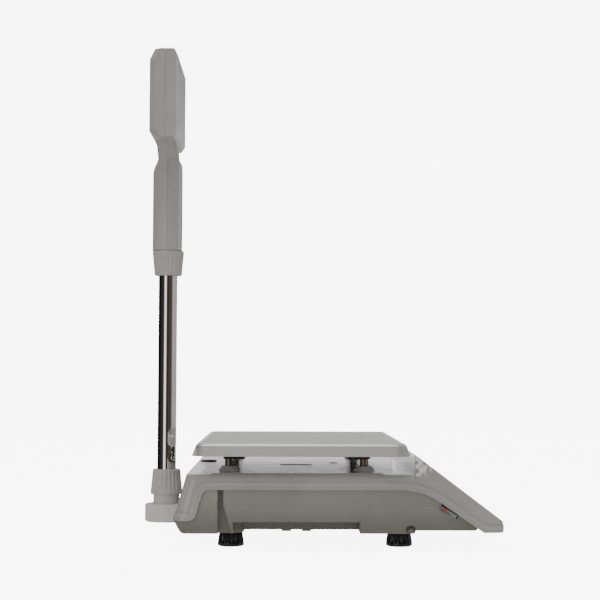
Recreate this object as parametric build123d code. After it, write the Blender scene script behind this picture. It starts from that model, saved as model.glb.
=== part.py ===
"""Price computing scale with a pole display, in millimetres.

X points to the operator, Y to the operator's right, Z up.
The origin is on the table, at the middle of the overall box.
"""
import os
from math import atan2, cos, degrees, radians, sin

from build123d import *

# Overall stations along X, from the customer's side to the operator's side
overall_length = 388.0
rear_x = -overall_length / 2
front_x = overall_length / 2

# Housing outline in side view
housing_half_width = 168.0
base_side_step = 4.5
rear_gap_behind_cover = 44.2
rear_lip_x = rear_x + rear_gap_behind_cover
rear_lean = 13.2
deck_z = 79.0
riser_x = front_x - 92.5
console_top_z = 100.4
console_low_x = front_x - 2.0
console_low_z = 32.2
front_tip_z = 29.6
crease_z = 73.4
deck_bevel = 10.0
console_draft = 3.0
corner_radius = 12.0
cover_wall = 2.6
below_everything_z = -30.0

# Parting line between the cover and the base
rear_lip_z = 31.8
middle_lip_z = 63.8
front_lip_z = 20.0
s_curve_foot_x = rear_lip_x + 22.3
s_curve_head_x = s_curve_foot_x + 9.0
slope_start_x = riser_x + 7.7
slope_end_x = front_x - 21.7
s_curve_radius = 9.0
sweep_radius = 74.0
lip_end_radius = 3.0
parting_gap = 0.8
bead_rise = 3.0
bead_height = 4.8
bead_proud = 1.2

# Deck plateau and the domes round the tray posts
plateau_rear_x = rear_lip_x + 38.8
plateau_front_x = riser_x - 31.8
plateau_half_width = housing_half_width - 11.0
plateau_rise = 1.4
dome_radius = 11.6
dome_top_radius = 7.6
dome_height = 4.6
dome_hole_radius = 6.2

# Platform, posts and tray
platform_x = (rear_lip_x + riser_x) / 2 + 3.15
tray_rear_x = rear_lip_x + 18.2
tray_front_x = riser_x - 3.3
tray_center_x = (tray_rear_x + tray_front_x) / 2
tray_length = tray_front_x - tray_rear_x
tray_width = 330.0
post_spacing_x = tray_length - 84.6
post_spacing_y = tray_width - 110.0
post_radius = 4.6
post_top_z = 106.6
rest_flange_z = 92.4
rest_flange_thickness = 1.7
rest_reach = 17.0
rest_radius = 6.4
tray_top_z = 110.0
tray_skirt = 12.2
tray_flare = 4.7
tray_sheet = 1.4
tray_corner_radius = 16.0
tray_rim_width = 3.2
tray_rim_rise = 0.7

# Base housing
base_bottom_z = 18.0
front_bottom_z = 21.4
front_bottom_x = front_x - 91.3
base_front_x = front_x - 29.6
base_wall = 2.6
base_floor = 3.0
break_z = 46.0
lower_draft = 3.5
grip_rear_x = platform_x - 67.0
grip_front_x = platform_x + 65.6
grip_top_z = 30.0
grip_ceiling_z = 37.0
grip_lip = 6.0
groove_depth = 9.0
notch_radius = 5.4
notch_wall = 2.2

# Feet
foot_rear_x = platform_x - 70.3
foot_front_x = front_bottom_x - 13.7
foot_y = housing_half_width - 56.0
groove_rear_x = foot_rear_x - 12.3
groove_upper_x = foot_rear_x - 6.3
groove_lower_x = foot_rear_x + 2.2
notch_x = foot_front_x + 8.4
foot_radius = 14.2
foot_neck_radius = 12.8
foot_height = 14.0
foot_boss_radius = 15.5
foot_boss_bottom_z = 14.6
stem_radius = 4.0
stem_bottom_z = 5.0
stem_top_z = 40.0
running_gap = 0.06
stem_sleeve_radius = 8.0

# Pole, collars and bracket
boss_radius = 24.4
pole_x = rear_x + boss_radius
boss_bottom_z = 14.4
boss_top_z = 34.4
neck_radius = 15.0
collar_seat_z = 44.9
collar_height = 28.5
collar_wide_radius = 18.2
collar_narrow_radius = 15.9
collar_ribs = 22
flute_width = 2.2
flute_offset = 0.75
flute_start = 3.6
grip_radius = 13.1
tube_radius = 10.8
tube_wall = 1.2
tube_bottom_z = 20.0
clamp_gap = 0.3

# Display head
head_stem_radius = 18.4
head_top_z = 549.7
head_bottom_z = head_top_z - 100.0
head_neck_z = head_bottom_z - 17.2
head_neck_half = 11.9
stem_seat_z = head_neck_z - 107.0
tube_top_z = stem_seat_z + 4.5
head_width = 124.0
head_rear_reach = 18.4
head_front_reach = 14.4
head_wall = 2.4
pane_thickness = 1.5
pane_half_width = head_width / 2 - 8.5
pane_margin_z = 3.8
pane_ledge = 3.0

# Console: key panel and keys, measured down the slope from the console's top edge
panel_start = 31.0
panel_end = 106.0
panel_half_width = housing_half_width - 28.0
panel_recess = 1.0
panel_ledge = 4.0
key_rows = 4
key_columns = 4
key_pitch_down = 17.6
key_pitch_across = 21.0
key_first_down = 41.5
key_first_across = panel_half_width - 98.0
function_key_space = 7.0
key_length = 14.0
key_width = 17.0
key_gap = 0.4
key_travel = 1.2
key_body = 4.2
key_flange = 1.2
key_crown = 0.6
board_drop = 7.6
board_thickness = 1.6
panel_flange_thickness = 1.2
key_corner_radius = 2.0
key_switch_size = 6.0
display_half_span = housing_half_width - 48.0

# Load path
chassis_z = 26.0
chassis_thickness = 3.0
main_board_rear_x = front_x - 122.0
main_board_front_x = front_x - 44.0
main_board_half_width = 60.0
main_board_z = 31.0
chassis_rear_x = platform_x - 75.0
chassis_front_x = main_board_rear_x - 16.0
chassis_half_width = 62.0
chassis_flange = 7.0
cell_length = 130.0
cell_width = 30.0
cell_height = 22.0
cell_hole_radius = 8.0
cell_hole_offset = 15.0
cell_slot = 5.0
spacer_length = 30.0
spacer_height = 4.0
spider_height = 8.0
spider_arm_width = 15.0
spider_pad_radius = 9.0
stop_gap = 0.7
cell_bolt_radius = 2.6

# Battery bay and door
battery_rear_x = platform_x - 49.0
battery_length = 100.0
battery_y = 68.4
battery_width = 44.6
battery_height = 34.0
battery_corner_radius = 2.5
bay_gap = 2.2
bay_wall = 1.6
bay_top_z = 44.0
door_gap = 0.4
door_pin_radius = 0.8
door_pin_length = 2.0

# Switch, inlet, level, screws
switch_x = front_x - 56.8
switch_z = 41.0
switch_tilt = 31.6
switch_length = 22.6
switch_height = 7.2
switch_depth = 15.0
rocker_gap = 0.35
rocker_throw = 8.0
wall_lean_room = 2.3
inlet_x = front_x - 57.0
inlet_z = 36.0
inlet_radius = 5.5
inlet_bore_radius = 3.2
inlet_pin_radius = 1.0
inlet_depth = 14.0
level_x = rear_lip_x + 25.8
level_y = 60.0
level_radius = 9.6
level_cup_radius = 8.0
level_vial_radius = 6.6
level_depth = 9.0
screw_pillar_radius = 5.0
screw_radius = 1.6
screw_head_radius = 3.2
screw_head_height = 2.0
screw_head_gap = 0.2
pillar_top_z = 34.0


def side_face(points):
    """Closed face in the side view, from (x, z) points."""
    return make_face(Plane.XZ * Polyline(*points, close=True))


def across(face, half_width):
    """Extrude a side-view face to both sides of the middle plane."""
    return extrude(face, half_width, dir=(0, 1, 0), both=True)


def block(x_span, y_span, z_span):
    """Box between two stations along each axis."""
    sizes = [high - low for low, high in (x_span, y_span, z_span)]
    middle = [(low + high) / 2 for low, high in (x_span, y_span, z_span)]
    return Pos(*middle) * Box(*sizes)


def disc(x, y, radius, z_low, z_high):
    """Upright cylinder between two heights."""
    return Pos(x, y, (z_low + z_high) / 2) * Cylinder(radius, z_high - z_low)


def along_x(points, x_low, x_high):
    """Extrude a front-view section, from (y, z) points, between two stations."""
    face = make_face(Plane.YZ * Polyline(*points, close=True))
    return Pos(x_low, 0, 0) * extrude(face, x_high - x_low, dir=(1, 0, 0))


def drawn_in(face, inset):
    """The face with every side moved inward, or outward for a negative inset."""
    return offset(face, -inset, kind=Kind.INTERSECTION) if inset else face


# Shapes shared by the cover and the base
def below_parting(drop):
    """Face under the parting line, lowered by drop, closed far below."""
    line = FilletPolyline(
        (rear_x, 0, rear_lip_z - drop),
        (s_curve_foot_x, 0, rear_lip_z - drop),
        (s_curve_head_x, 0, middle_lip_z - drop),
        (slope_start_x, 0, middle_lip_z - drop),
        (slope_end_x, 0, front_lip_z - drop),
        (front_x + 5, 0, front_lip_z - drop),
        radius=[s_curve_radius, s_curve_radius, sweep_radius, lip_end_radius],
    )
    closing = Polyline(
        (front_x + 5, 0, front_lip_z - drop),
        (front_x + 5, 0, 2 * below_everything_z),
        (rear_x, 0, 2 * below_everything_z),
        (rear_x, 0, rear_lip_z - drop),
    )
    return make_face(line.edges() + closing.edges())


def cover_form(inset):
    """Whole outer form of the cover, drawn in by inset on every face."""
    low = below_everything_z
    outline = side_face(
        [
            (rear_lip_x, rear_lip_z),
            (rear_lip_x + rear_lean, deck_z),
            (riser_x, deck_z),
            (riser_x, console_top_z),
            (console_low_x, console_low_z),
            (front_x, front_tip_z),
            (front_x, low),
            (rear_lip_x, low),
        ]
    )
    half = housing_half_width - inset
    crease = crease_z - 0.6 * inset
    deck_sides = [(half, low), (half, crease), (half - deck_bevel, crease + deck_z - crease_z)]
    console_sides = [(half, low), (half, crease), (half - console_draft, console_top_z)]
    split_x = riser_x + inset
    deck_part = along_x(deck_sides + [(-y, z) for y, z in reversed(deck_sides)], rear_x, split_x)
    console_part = along_x(
        console_sides + [(-y, z) for y, z in reversed(console_sides)], split_x, front_x + 5
    )
    form = across(drawn_in(outline, inset), half) & (deck_part + console_part)
    corners = [
        edge
        for edge in form.edges()
        if abs(edge.center().Y) > half - 0.1
        and edge.bounding_box().size.Z > 15
        and not rear_lip_x + rear_lean + inset < edge.center().X < console_low_x - inset - 1
    ]
    return fillet(corners, corner_radius - inset)


def grown_parting(rise):
    """Everything below a line that runs parallel to the parting line, rise away from it."""
    return across(offset(below_parting(0), rise), 2 * housing_half_width)


# Top cover
window_seat_z = 76.2
window_nose_x = riser_x + 17.9
window_nose_z = 85.6
window_wall = 2.0
window_face = side_face(
    [
        (riser_x, window_seat_z),
        (riser_x + 11, window_seat_z + 2),
        (window_nose_x, window_nose_z),
        (window_nose_x + 12, window_nose_z + 16),
        (riser_x - 10, console_top_z + 10),
        (riser_x - 10, deck_z),
        (riser_x, deck_z),
    ]
)
window_space = across(window_face, 2 * housing_half_width)
window_space_grown = across(
    offset(window_face, cover_wall, kind=Kind.INTERSECTION), 2 * housing_half_width
)
post_places = [
    (platform_x + sx * post_spacing_x / 2, sy * post_spacing_y / 2)
    for sx in (-1, 1)
    for sy in (-1, 1)
]
cover_outer = cover_form(0)
cover_cavity = cover_form(cover_wall)
side_band = block((rear_x, front_x), (-2 * housing_half_width, 2 * housing_half_width), (0, deck_z))


def side_strip(low, high, proud):
    """Raised strip round the cover that runs parallel to the parting line."""
    between = grown_parting(high) - grown_parting(low)
    return (cover_form(-proud) - cover_form(cover_wall / 2)) & between & side_band


slope_angle = degrees(atan2(console_top_z - console_low_z, console_low_x - riser_x))
console = Plane(
    origin=(riser_x, 0, console_top_z),
    x_dir=(cos(radians(slope_angle)), 0, -sin(radians(slope_angle))),
    z_dir=(sin(radians(slope_angle)), 0, cos(radians(slope_angle))),
)
panel_length = panel_end - panel_start
panel_middle = (panel_start + panel_end) / 2


def on_console(down, across_y, depth, length, width, height):
    """Box on the console slope; depth is its middle, measured out of the slope."""
    return console.location * Pos(down, across_y, depth) * Box(length, width, height)


pillar_places = (
    (rear_lip_x + 25.8, housing_half_width - 40.0),
    (grip_front_x + 17.4, housing_half_width - 32.0),
    (riser_x + 10.5, housing_half_width - 22.0),
)
housing_screw_places = [(x, side * y) for x, y in pillar_places for side in (-1, 1)]
bracket_screw_y = 14.0
bracket_screw_places = [
    (rear_lip_x + reach, side * bracket_screw_y) for reach in (17.8, 45.8) for side in (-1, 1)
]

cover = (cover_outer - window_space) - (cover_cavity - window_space_grown) - grown_parting(0)
cover += side_strip(bead_rise, bead_rise + bead_height, bead_proud)
cover += side_strip(0, bead_rise, bead_proud / 2)
plateau_length = plateau_front_x - plateau_rear_x
plateau_z = deck_z + plateau_rise
cover += Pos((plateau_front_x + plateau_rear_x) / 2, 0, deck_z) * extrude(
    Rectangle(plateau_length, 2 * plateau_half_width), plateau_rise, taper=45
)
cover_core = cover_form(cover_wall / 2)
for x, y in housing_screw_places:
    column = disc(x, y, screw_pillar_radius - 0.5, pillar_top_z, console_top_z) & cover_core
    cover += column - window_space
    cover -= disc(x, y, screw_radius, pillar_top_z, pillar_top_z + 12)
for x, y in post_places:
    cover -= disc(x, y, dome_hole_radius, deck_z - 10, deck_z + 10)
cover -= disc(level_x, level_y, level_cup_radius, deck_z - 10, deck_z + 10)
cover -= on_console(panel_middle, 0, 0, panel_length, 2 * panel_half_width, 4 * cover_wall)

deck_domes = [
    Pos(x, y, plateau_z + dome_height / 2) * Cone(dome_radius, dome_top_radius, dome_height)
    - disc(x, y, dome_hole_radius, deck_z, deck_z + 20)
    for x, y in post_places
]

window = (cover_outer & window_space) - cover_form(window_wall)
operator_display = (cover_form(window_wall + 1) & window_space) & block(
    (riser_x - 5, window_nose_x + 20),
    (-display_half_span, display_half_span),
    (window_seat_z - 5, console_top_z),
)

# Key panel, keys and key board
panel_plate = on_console(
    panel_middle, 0, -(panel_recess + cover_wall) / 2, panel_length, 2 * panel_half_width,
    cover_wall - panel_recess,
)
panel_flange = on_console(
    panel_middle, 0, -cover_wall - panel_flange_thickness / 2, panel_length + 2 * panel_ledge,
    2 * (panel_half_width + panel_ledge), panel_flange_thickness,
)
key_panel = panel_plate + panel_flange
flange_under = cover_wall + panel_flange_thickness
key_places = [
    (
        key_first_down + row * key_pitch_down,
        key_first_across + column * key_pitch_across
        + (function_key_space if column == key_columns - 1 else 0),
    )
    for row in range(key_rows)
    for column in range(key_columns)
]
for down, side in key_places:
    key_panel -= on_console(
        down, side, -cover_wall, key_length + 2 * key_gap, key_width + 2 * key_gap, 4 * cover_wall
    )
board_posts = [
    (down, side * (panel_half_width - 4))
    for down in (panel_start + 3, panel_end - 3)
    for side in (-1, 1)
]
for down, side in board_posts:
    key_panel += console.location * Pos(down, side, -(flange_under + board_drop) / 2) * Cylinder(
        2.4, board_drop - flange_under
    )


def key(down, side):
    """One moulded key with a softly crowned top and a flange that keeps it in the panel."""
    body = Box(key_length, key_width, key_body)
    body = fillet(body.edges().filter_by(Axis.Z), key_corner_radius)
    body = chamfer(body.faces().sort_by(Axis.Z)[-1].edges(), key_crown)
    flange = Pos(0, 0, -(key_body + key_flange) / 2) * Box(key_length + 2, key_width + 2, key_flange)
    return console.location * Pos(down, side, -key_body / 2) * (body + flange)


key_board = on_console(
    panel_middle, 0, -board_drop - board_thickness / 2, panel_length - 1, 2 * panel_half_width - 2,
    board_thickness,
)
switch_rise = board_drop - key_body - key_flange - key_travel - 0.3
for down, side in key_places:
    key_board += on_console(
        down, side, -board_drop + switch_rise / 2, key_switch_size, key_switch_size, switch_rise
    )

# Base housing
rear_block_step = 2.0
base_half = housing_half_width - base_side_step
grip_inner_y = battery_y + battery_width + bay_gap + bay_wall + base_wall + 1.1


def base_form(inset, side_step):
    """Lower housing as one solid form, drawn in by inset; the top stays open to the cover."""
    outline = side_face(
        [
            (rear_lip_x + 1, deck_z),
            (rear_lip_x + 1, rear_lip_z),
            (rear_lip_x + 5, base_bottom_z + 5.6),
            (rear_lip_x + 8, base_bottom_z + 1.4),
            (rear_lip_x + 11.4, base_bottom_z),
            (front_bottom_x - 1.5, base_bottom_z),
            (front_bottom_x, front_bottom_z),
            (base_front_x, front_bottom_z),
            (base_front_x + 4, front_bottom_z + 3),
            (base_front_x + 4, deck_z),
        ]
    )
    half = housing_half_width - side_step - inset
    low_half = half - lower_draft
    sides = [(low_half, below_everything_z), (low_half, base_bottom_z), (half, break_z), (half, deck_z)]
    section = along_x(sides + [(-y, z) for y, z in reversed(sides)], rear_x, front_x)
    return across(drawn_in(outline, inset), half) & section


def rear_block_form(inset):
    """The wider corner blocks behind the upright groove."""
    wide = base_form(inset, rear_block_step)
    return wide & block(
        (rear_x, groove_rear_x - inset), (-housing_half_width, housing_half_width), (0, deck_z)
    )


def grip_space(grow):
    """Finger recesses under both sides, with a lip at the outer wall."""
    lip_y = base_half - grip_lip
    reaches = ((grip_inner_y, lip_y, grip_ceiling_z), (lip_y - 1, base_half + 5, grip_top_z))
    spans = []
    for side in (-1, 1):
        for near, far, top in reaches:
            y_span = sorted((side * (near - grow), side * (far + grow)))
            spans.append(block((grip_rear_x - grow, grip_front_x + grow), y_span, (0, top + grow)))
    return Part() + spans


def groove_space(grow):
    """Upright groove in both side walls, wider towards the bottom."""
    face = side_face(
        [
            (groove_rear_x - grow, 0),
            (groove_rear_x - grow, deck_z),
            (groove_upper_x + grow, deck_z),
            (groove_upper_x + grow, break_z + 2),
            (groove_lower_x + grow, base_bottom_z),
            (groove_lower_x + grow, 0),
        ]
    )
    inner = base_half - groove_depth - grow
    return across(face, 2 * housing_half_width) - across(face, inner)


foot_places = [(x, y) for x in (foot_rear_x, foot_front_x) for y in (-foot_y, foot_y)]
tongue_rise = 5.0
tongue_gap = 0.4
outer_region = (Part() + [across(below_parting(parting_gap / 2), 2 * housing_half_width)]) + (
    grown_parting(tongue_rise) & cover_form(cover_wall + tongue_gap)
)
base = (base_form(0, base_side_step) + rear_block_form(0)) - grip_space(0) - groove_space(0)
base = base & outer_region
cavity = (base_form(base_wall, base_side_step) + rear_block_form(base_wall)) - grip_space(base_wall)
base -= cavity - groove_space(base_wall)
floor_top_z = base_bottom_z + base_wall
base_solid_form = base_form(base_wall / 2, base_side_step)

for x, y in foot_places:
    skirt = Pos(x, y, (foot_boss_bottom_z + base_bottom_z) / 2) * Cone(
        foot_boss_radius - 2, foot_boss_radius, base_bottom_z - foot_boss_bottom_z
    )
    base += skirt + disc(x, y, foot_boss_radius, base_bottom_z, floor_top_z)
    base += disc(x, y, foot_boss_radius, floor_top_z, grip_ceiling_z + 1)
    base -= disc(x, y, foot_boss_radius - base_wall, floor_top_z + 4, break_z + 1)
    base += disc(x, y, stem_sleeve_radius, floor_top_z + 3, stem_top_z + 2)
    base -= disc(x, y, stem_radius + running_gap, 0, stem_top_z)
for x, y in housing_screw_places:
    base += disc(x, y, screw_pillar_radius, floor_top_z - 1, pillar_top_z) & base_solid_form
    base -= disc(x, y, screw_radius, 0, pillar_top_z)
    base -= disc(x, y, screw_head_radius + screw_head_gap, 0, pillar_top_z - 10)
corner_margin = 8.0
chassis_places = [
    (x, side * (chassis_half_width - corner_margin))
    for x in (chassis_rear_x + corner_margin, chassis_front_x - corner_margin)
    for side in (-1, 1)
]
board_margin = 5.0
main_board_places = [
    (x, side * (main_board_half_width - board_margin))
    for x in (main_board_rear_x + board_margin, main_board_front_x - board_margin)
    for side in (-1, 1)
]
for places, radius, top in (
    (chassis_places, 5.0, chassis_z),
    (main_board_places, 3.5, main_board_z),
    (bracket_screw_places, 4.0, chassis_z - 1),
):
    for x, y in places:
        base += disc(x, y, radius, floor_top_z - 1, top)
for x, y in bracket_screw_places:
    base -= disc(x, y, screw_radius, 0, chassis_z - 1)

# Two small nubs stand under the floor's edge beside each finger recess
nub_length = 10.0
nub_drop = 1.8
for x in (platform_x - 11.0, platform_x + 10.5):
    for side in (-1, 1):
        base += block(
            (x - nub_length / 2, x + nub_length / 2),
            sorted((side * (grip_inner_y - base_wall), side * grip_inner_y)),
            (base_bottom_z - nub_drop, base_bottom_z + 1),
        )

# Half-round notch low in both side walls, beside the front feet
for side in (-1, 1):
    rod = Pos(notch_x, side * base_half, front_bottom_z) * Rot(90, 0, 0)
    base -= rod * (Cylinder(notch_radius, 10) - Cylinder(notch_radius - notch_wall, 12))

# Battery bay in the floor, with its opening
battery_front_x = battery_rear_x + battery_length
bay_x = (battery_rear_x - bay_gap, battery_front_x + bay_gap)
bay_y = (battery_y - bay_gap, battery_y + battery_width + bay_gap)
base += block(
    (bay_x[0] - bay_wall, bay_x[1] + bay_wall),
    (bay_y[0] - bay_wall, bay_y[1] + bay_wall),
    (floor_top_z - 1, bay_top_z),
)
base -= block(bay_x, bay_y, (0, bay_top_z + 1))
door_axis_y = bay_y[0] + door_gap + base_wall / 2
door_axis_z = base_bottom_z + base_wall / 2
for x in bay_x:
    base -= Pos(x, door_axis_y, door_axis_z) * Rot(0, 90, 0) * Cylinder(
        door_pin_radius + running_gap, 2 * (door_pin_length + 0.3)
    )
# Two tongues on each bay wall keep the battery centred
for x in (battery_rear_x + 15, battery_front_x - 15):
    for low, high in ((bay_y[0], bay_y[0] + bay_gap - 0.3), (bay_y[1] - bay_gap + 0.3, bay_y[1])):
        base += block((x - 2, x + 2), (low, high), (floor_top_z + 2, bay_top_z))

# Switch opening in the near side wall, along the console slope; inlet opening in the far one
switch_turn = Pos(switch_x, 0, switch_z) * Rot(0, switch_tilt, 0)
switch_hole = switch_turn * Pos(0, -base_half, 0) * Box(switch_length, 12, switch_height)
base -= switch_hole
inlet_turn = Pos(inlet_x, base_half, inlet_z) * Rot(90, 0, 0)
base -= inlet_turn * Cylinder(inlet_radius, 2 * inlet_depth)

# Battery door on its two pins
door_x = (bay_x[0] + door_gap, bay_x[1] - door_gap)
battery_door = block(door_x, (door_axis_y, bay_y[1] - door_gap), (base_bottom_z, floor_top_z))
battery_door += Pos((door_x[0] + door_x[1]) / 2, door_axis_y, door_axis_z) * Rot(0, 90, 0) * (
    Cylinder(base_wall / 2, door_x[1] - door_x[0])
    + Cylinder(door_pin_radius, door_x[1] - door_x[0] + 2 * door_gap + 2 * door_pin_length)
)
door_middle_x = (door_x[0] + door_x[1]) / 2
battery_door -= Pos(door_middle_x, bay_y[1] - door_gap - 9, base_bottom_z) * Cylinder(7, 2)
battery_z = floor_top_z + 0.3
battery_top_z = battery_z + battery_height
battery = block(
    (battery_rear_x, battery_front_x), (battery_y, battery_y + battery_width), (battery_z, battery_top_z)
)
battery = fillet(battery.edges().filter_by(Axis.Z), battery_corner_radius)
for offset_y in (10, battery_width - 10):
    battery += block(
        (battery_rear_x + 6, battery_rear_x + 12), (battery_y + offset_y - 3, battery_y + offset_y + 3),
        (battery_top_z, battery_top_z + 2.5),
    )

# Switch body: a flanged sleeve through the wall, open to the outside
switch_y = -base_half
sleeve = Pos(0, switch_y + switch_depth / 2 + 1.2, 0) * Box(switch_length, switch_depth, switch_height)
sleeve += Pos(0, switch_y + base_wall + wall_lean_room + 0.7, 0) * Box(
    switch_length + 4, 1.4, switch_height + 4
)
pocket_length = switch_length - 1.6
pocket_height = switch_height - 1.4
sleeve -= Pos(0, switch_y + 4, 0) * Box(pocket_length, 16, pocket_height)
rocker_axis_y = switch_y + 6.5
switch_body = switch_turn * sleeve
rocker_face_y = switch_y + 2.2
half_rocker = pocket_length / 2 - rocker_gap - 0.5
rocker_height = pocket_height - 2 * rocker_gap
rocker_drop = 2.4


def rocker_shape():
    """Two-faced rocker, hollow at the middle, drawn in the wall's plane and as tall as its pocket."""
    outline = Plane.XY * Polyline(
        (-half_rocker, rocker_face_y - 0.2),
        (0, rocker_face_y + 1.0),
        (half_rocker, rocker_face_y - 0.2),
        (half_rocker - 0.8, rocker_face_y + rocker_drop),
        (2.6, rocker_axis_y + 2.2),
        (-2.6, rocker_axis_y + 2.2),
        (0.8 - half_rocker, rocker_face_y + rocker_drop),
        close=True,
    )
    prism = extrude(make_face(outline), rocker_height / 2, both=True)
    pin = Pos(0, rocker_axis_y, 0) * Cylinder(1.2, pocket_height + 1.0)
    return prism + pin


switch_body -= switch_turn * Pos(0, rocker_axis_y, 0) * Cylinder(1.2 + running_gap, pocket_height + 1.1)
rocker_at_rest = Pos(0, rocker_axis_y, 0) * Rot(0, 0, -rocker_throw) * Pos(0, -rocker_axis_y, 0)
switch_rocker = switch_turn * rocker_at_rest * rocker_shape()

power_inlet = inlet_turn * Pos(0, 0, inlet_depth / 2 - 1.2) * Cylinder(inlet_radius, inlet_depth)
power_inlet += inlet_turn * Pos(0, 0, base_wall + wall_lean_room + 1.0) * Cylinder(inlet_radius + 2, 2.0)
power_inlet -= inlet_turn * Pos(0, 0, inlet_depth / 2 - 3.5) * Cylinder(inlet_bore_radius, inlet_depth)
power_inlet += inlet_turn * Pos(0, 0, inlet_depth / 2 - 1.5) * Cylinder(inlet_pin_radius, inlet_depth - 2)

# Load path: chassis plate, load cell, spider, posts
chassis_top_z = chassis_z + chassis_thickness
chassis_x = (chassis_rear_x, chassis_front_x)
chassis_plate = block(chassis_x, (-chassis_half_width, chassis_half_width), (chassis_z, chassis_top_z))
for side in (-1, 1):
    edge_y = sorted((side * chassis_half_width, side * (chassis_half_width - chassis_thickness)))
    chassis_plate += block(chassis_x, edge_y, (chassis_z, chassis_top_z + chassis_flange))
for x, y in chassis_places:
    chassis_plate -= disc(x, y, screw_radius + 0.4, chassis_z, chassis_top_z)
cell_rear_x = platform_x - cell_length / 2
cell_front_x = platform_x + cell_length / 2
cell_z = chassis_top_z + spacer_height
cell_top_z = cell_z + cell_height
spider_z = cell_top_z + spacer_height
spider_top_z = spider_z + spider_height
half_cell = cell_width / 2
cell_spacer_lower = block(
    (cell_rear_x, cell_rear_x + spacer_length), (-half_cell, half_cell), (chassis_top_z, cell_z)
)
cell_spacer_upper = block(
    (cell_front_x - spacer_length, cell_front_x), (-half_cell, half_cell), (cell_top_z, spider_z)
)
load_cell = block((cell_rear_x, cell_front_x), (-half_cell, half_cell), (cell_z, cell_top_z))
cell_middle_z = (cell_z + cell_top_z) / 2
for side in (-1, 1):
    load_cell -= Pos(platform_x + side * cell_hole_offset, 0, cell_middle_z) * Rot(90, 0, 0) * Cylinder(
        cell_hole_radius, 2 * cell_width
    )
load_cell -= block(
    (platform_x - cell_hole_offset, platform_x + cell_hole_offset), (-cell_width, cell_width),
    (cell_middle_z - cell_slot / 2, cell_middle_z + cell_slot / 2),
)
bolt_reaches = (8.0, 22.0)
lower_bolts = [(cell_rear_x + reach, 0) for reach in bolt_reaches]
upper_bolts = [(cell_front_x - reach, 0) for reach in bolt_reaches]
spider = block(
    (platform_x - spacer_length, cell_front_x + 6), (-half_cell - 5, half_cell + 5), (spider_z, spider_top_z)
)
for x, y in post_places:
    reach = Vector(x - platform_x, y)
    arm = Pos(platform_x, 0, spider_z + spider_height / 2) * Rot(0, 0, degrees(atan2(reach.Y, reach.X)))
    spider += arm * Pos(reach.length / 2, 0, 0) * Box(reach.length, spider_arm_width, spider_height)
    channel = Box(reach.length * 0.5, spider_arm_width - 5, spider_height)
    spider -= arm * Pos(reach.length * 0.6, 0, 3) * channel
    spider += disc(x, y, spider_pad_radius, spider_z, spider_top_z)
cell_bolts = []
for x, y in lower_bolts:
    cell_bolts.append(disc(x, y, cell_bolt_radius, chassis_z, cell_z + 10))
    chassis_plate -= disc(x, y, cell_bolt_radius, chassis_z, chassis_top_z)
    cell_spacer_lower -= disc(x, y, cell_bolt_radius, chassis_top_z, cell_z)
    load_cell -= disc(x, y, cell_bolt_radius, 0, cell_z + 10)
spider_bolts = []
bolt_head_height = 3.0
bolt_head_radius = 4.6
for x, y in upper_bolts:
    spider_bolts.append(
        disc(x, y, cell_bolt_radius, cell_top_z, spider_top_z)
        + disc(x, y, bolt_head_radius, spider_top_z, spider_top_z + bolt_head_height)
    )
    cell_spacer_upper -= disc(x, y, cell_bolt_radius, cell_top_z, spider_z)
    spider -= disc(x, y, cell_bolt_radius, spider_z, spider_top_z)
stop_reach = 22.0
stop_radius = 2.0
stop_nut_radius = 4.2
stop_places = [
    (platform_x + sx * stop_reach, sy * stop_reach * post_spacing_y / post_spacing_x)
    for sx in (-1, 1)
    for sy in (-1, 1)
]
overload_stops = [
    disc(x, y, stop_radius, chassis_z, spider_z - stop_gap)
    + disc(x, y, stop_nut_radius, chassis_top_z, chassis_top_z + 3)
    for x, y in stop_places
]
for x, y in stop_places:
    chassis_plate -= disc(x, y, stop_radius, chassis_z, chassis_top_z)

tray_under_z = tray_top_z - tray_sheet
tray_posts = [disc(x, y, post_radius, spider_top_z, post_top_z) for x, y in post_places]
tray_rests = []
for x, y in post_places:
    inward = 1 if x < platform_x else -1
    flange = disc(x, y, rest_radius, rest_flange_z, rest_flange_z + rest_flange_thickness)
    flange += block(
        sorted((x, x + inward * rest_reach)), (y - rest_radius + 1, y + rest_radius - 1),
        (rest_flange_z, rest_flange_z + rest_flange_thickness),
    )
    flange += disc(x, y, rest_radius, rest_flange_z, tray_under_z)
    tray_rests.append(flange - disc(x, y, post_radius, 0, post_top_z))

# Tray: a pan turned down at the edge, with a raised rim and four locating rings underneath
tray_taper = degrees(atan2(tray_flare, tray_skirt))
tray_bottom_z = tray_top_z - tray_skirt
tray = Pos(tray_center_x, 0, tray_bottom_z) * extrude(
    RectangleRounded(tray_length, tray_width, tray_corner_radius), tray_skirt, taper=tray_taper
)
tray = fillet(tray.faces().sort_by(Axis.Z)[-1].edges(), 1.8)
tray -= Pos(tray_center_x, 0, tray_bottom_z) * extrude(
    RectangleRounded(
        tray_length - 2 * tray_sheet, tray_width - 2 * tray_sheet, tray_corner_radius - tray_sheet
    ),
    tray_skirt - tray_sheet,
    taper=tray_taper,
)
rim_inset = tray_flare + 2.2
rim = RectangleRounded(
    tray_length - 2 * rim_inset, tray_width - 2 * rim_inset, tray_corner_radius - rim_inset / 2
) - RectangleRounded(
    tray_length - 2 * (rim_inset + tray_rim_width), tray_width - 2 * (rim_inset + tray_rim_width),
    tray_corner_radius - rim_inset,
)
tray += Pos(tray_center_x, 0, tray_top_z) * extrude(rim, tray_rim_rise, taper=30)
ring_gap = 0.4
ring_depth = 6.0
for x, y in post_places:
    tray += disc(
        x, y, rest_radius + ring_gap + tray_sheet, tray_under_z - ring_depth, tray_under_z + 0.2
    ) - disc(x, y, rest_radius + ring_gap, tray_under_z - ring_depth, tray_under_z)

# Adjustable feet
foot_ribs = 24
foot_groove_depth = 1.1
foot_groove_z = 3.6


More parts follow.
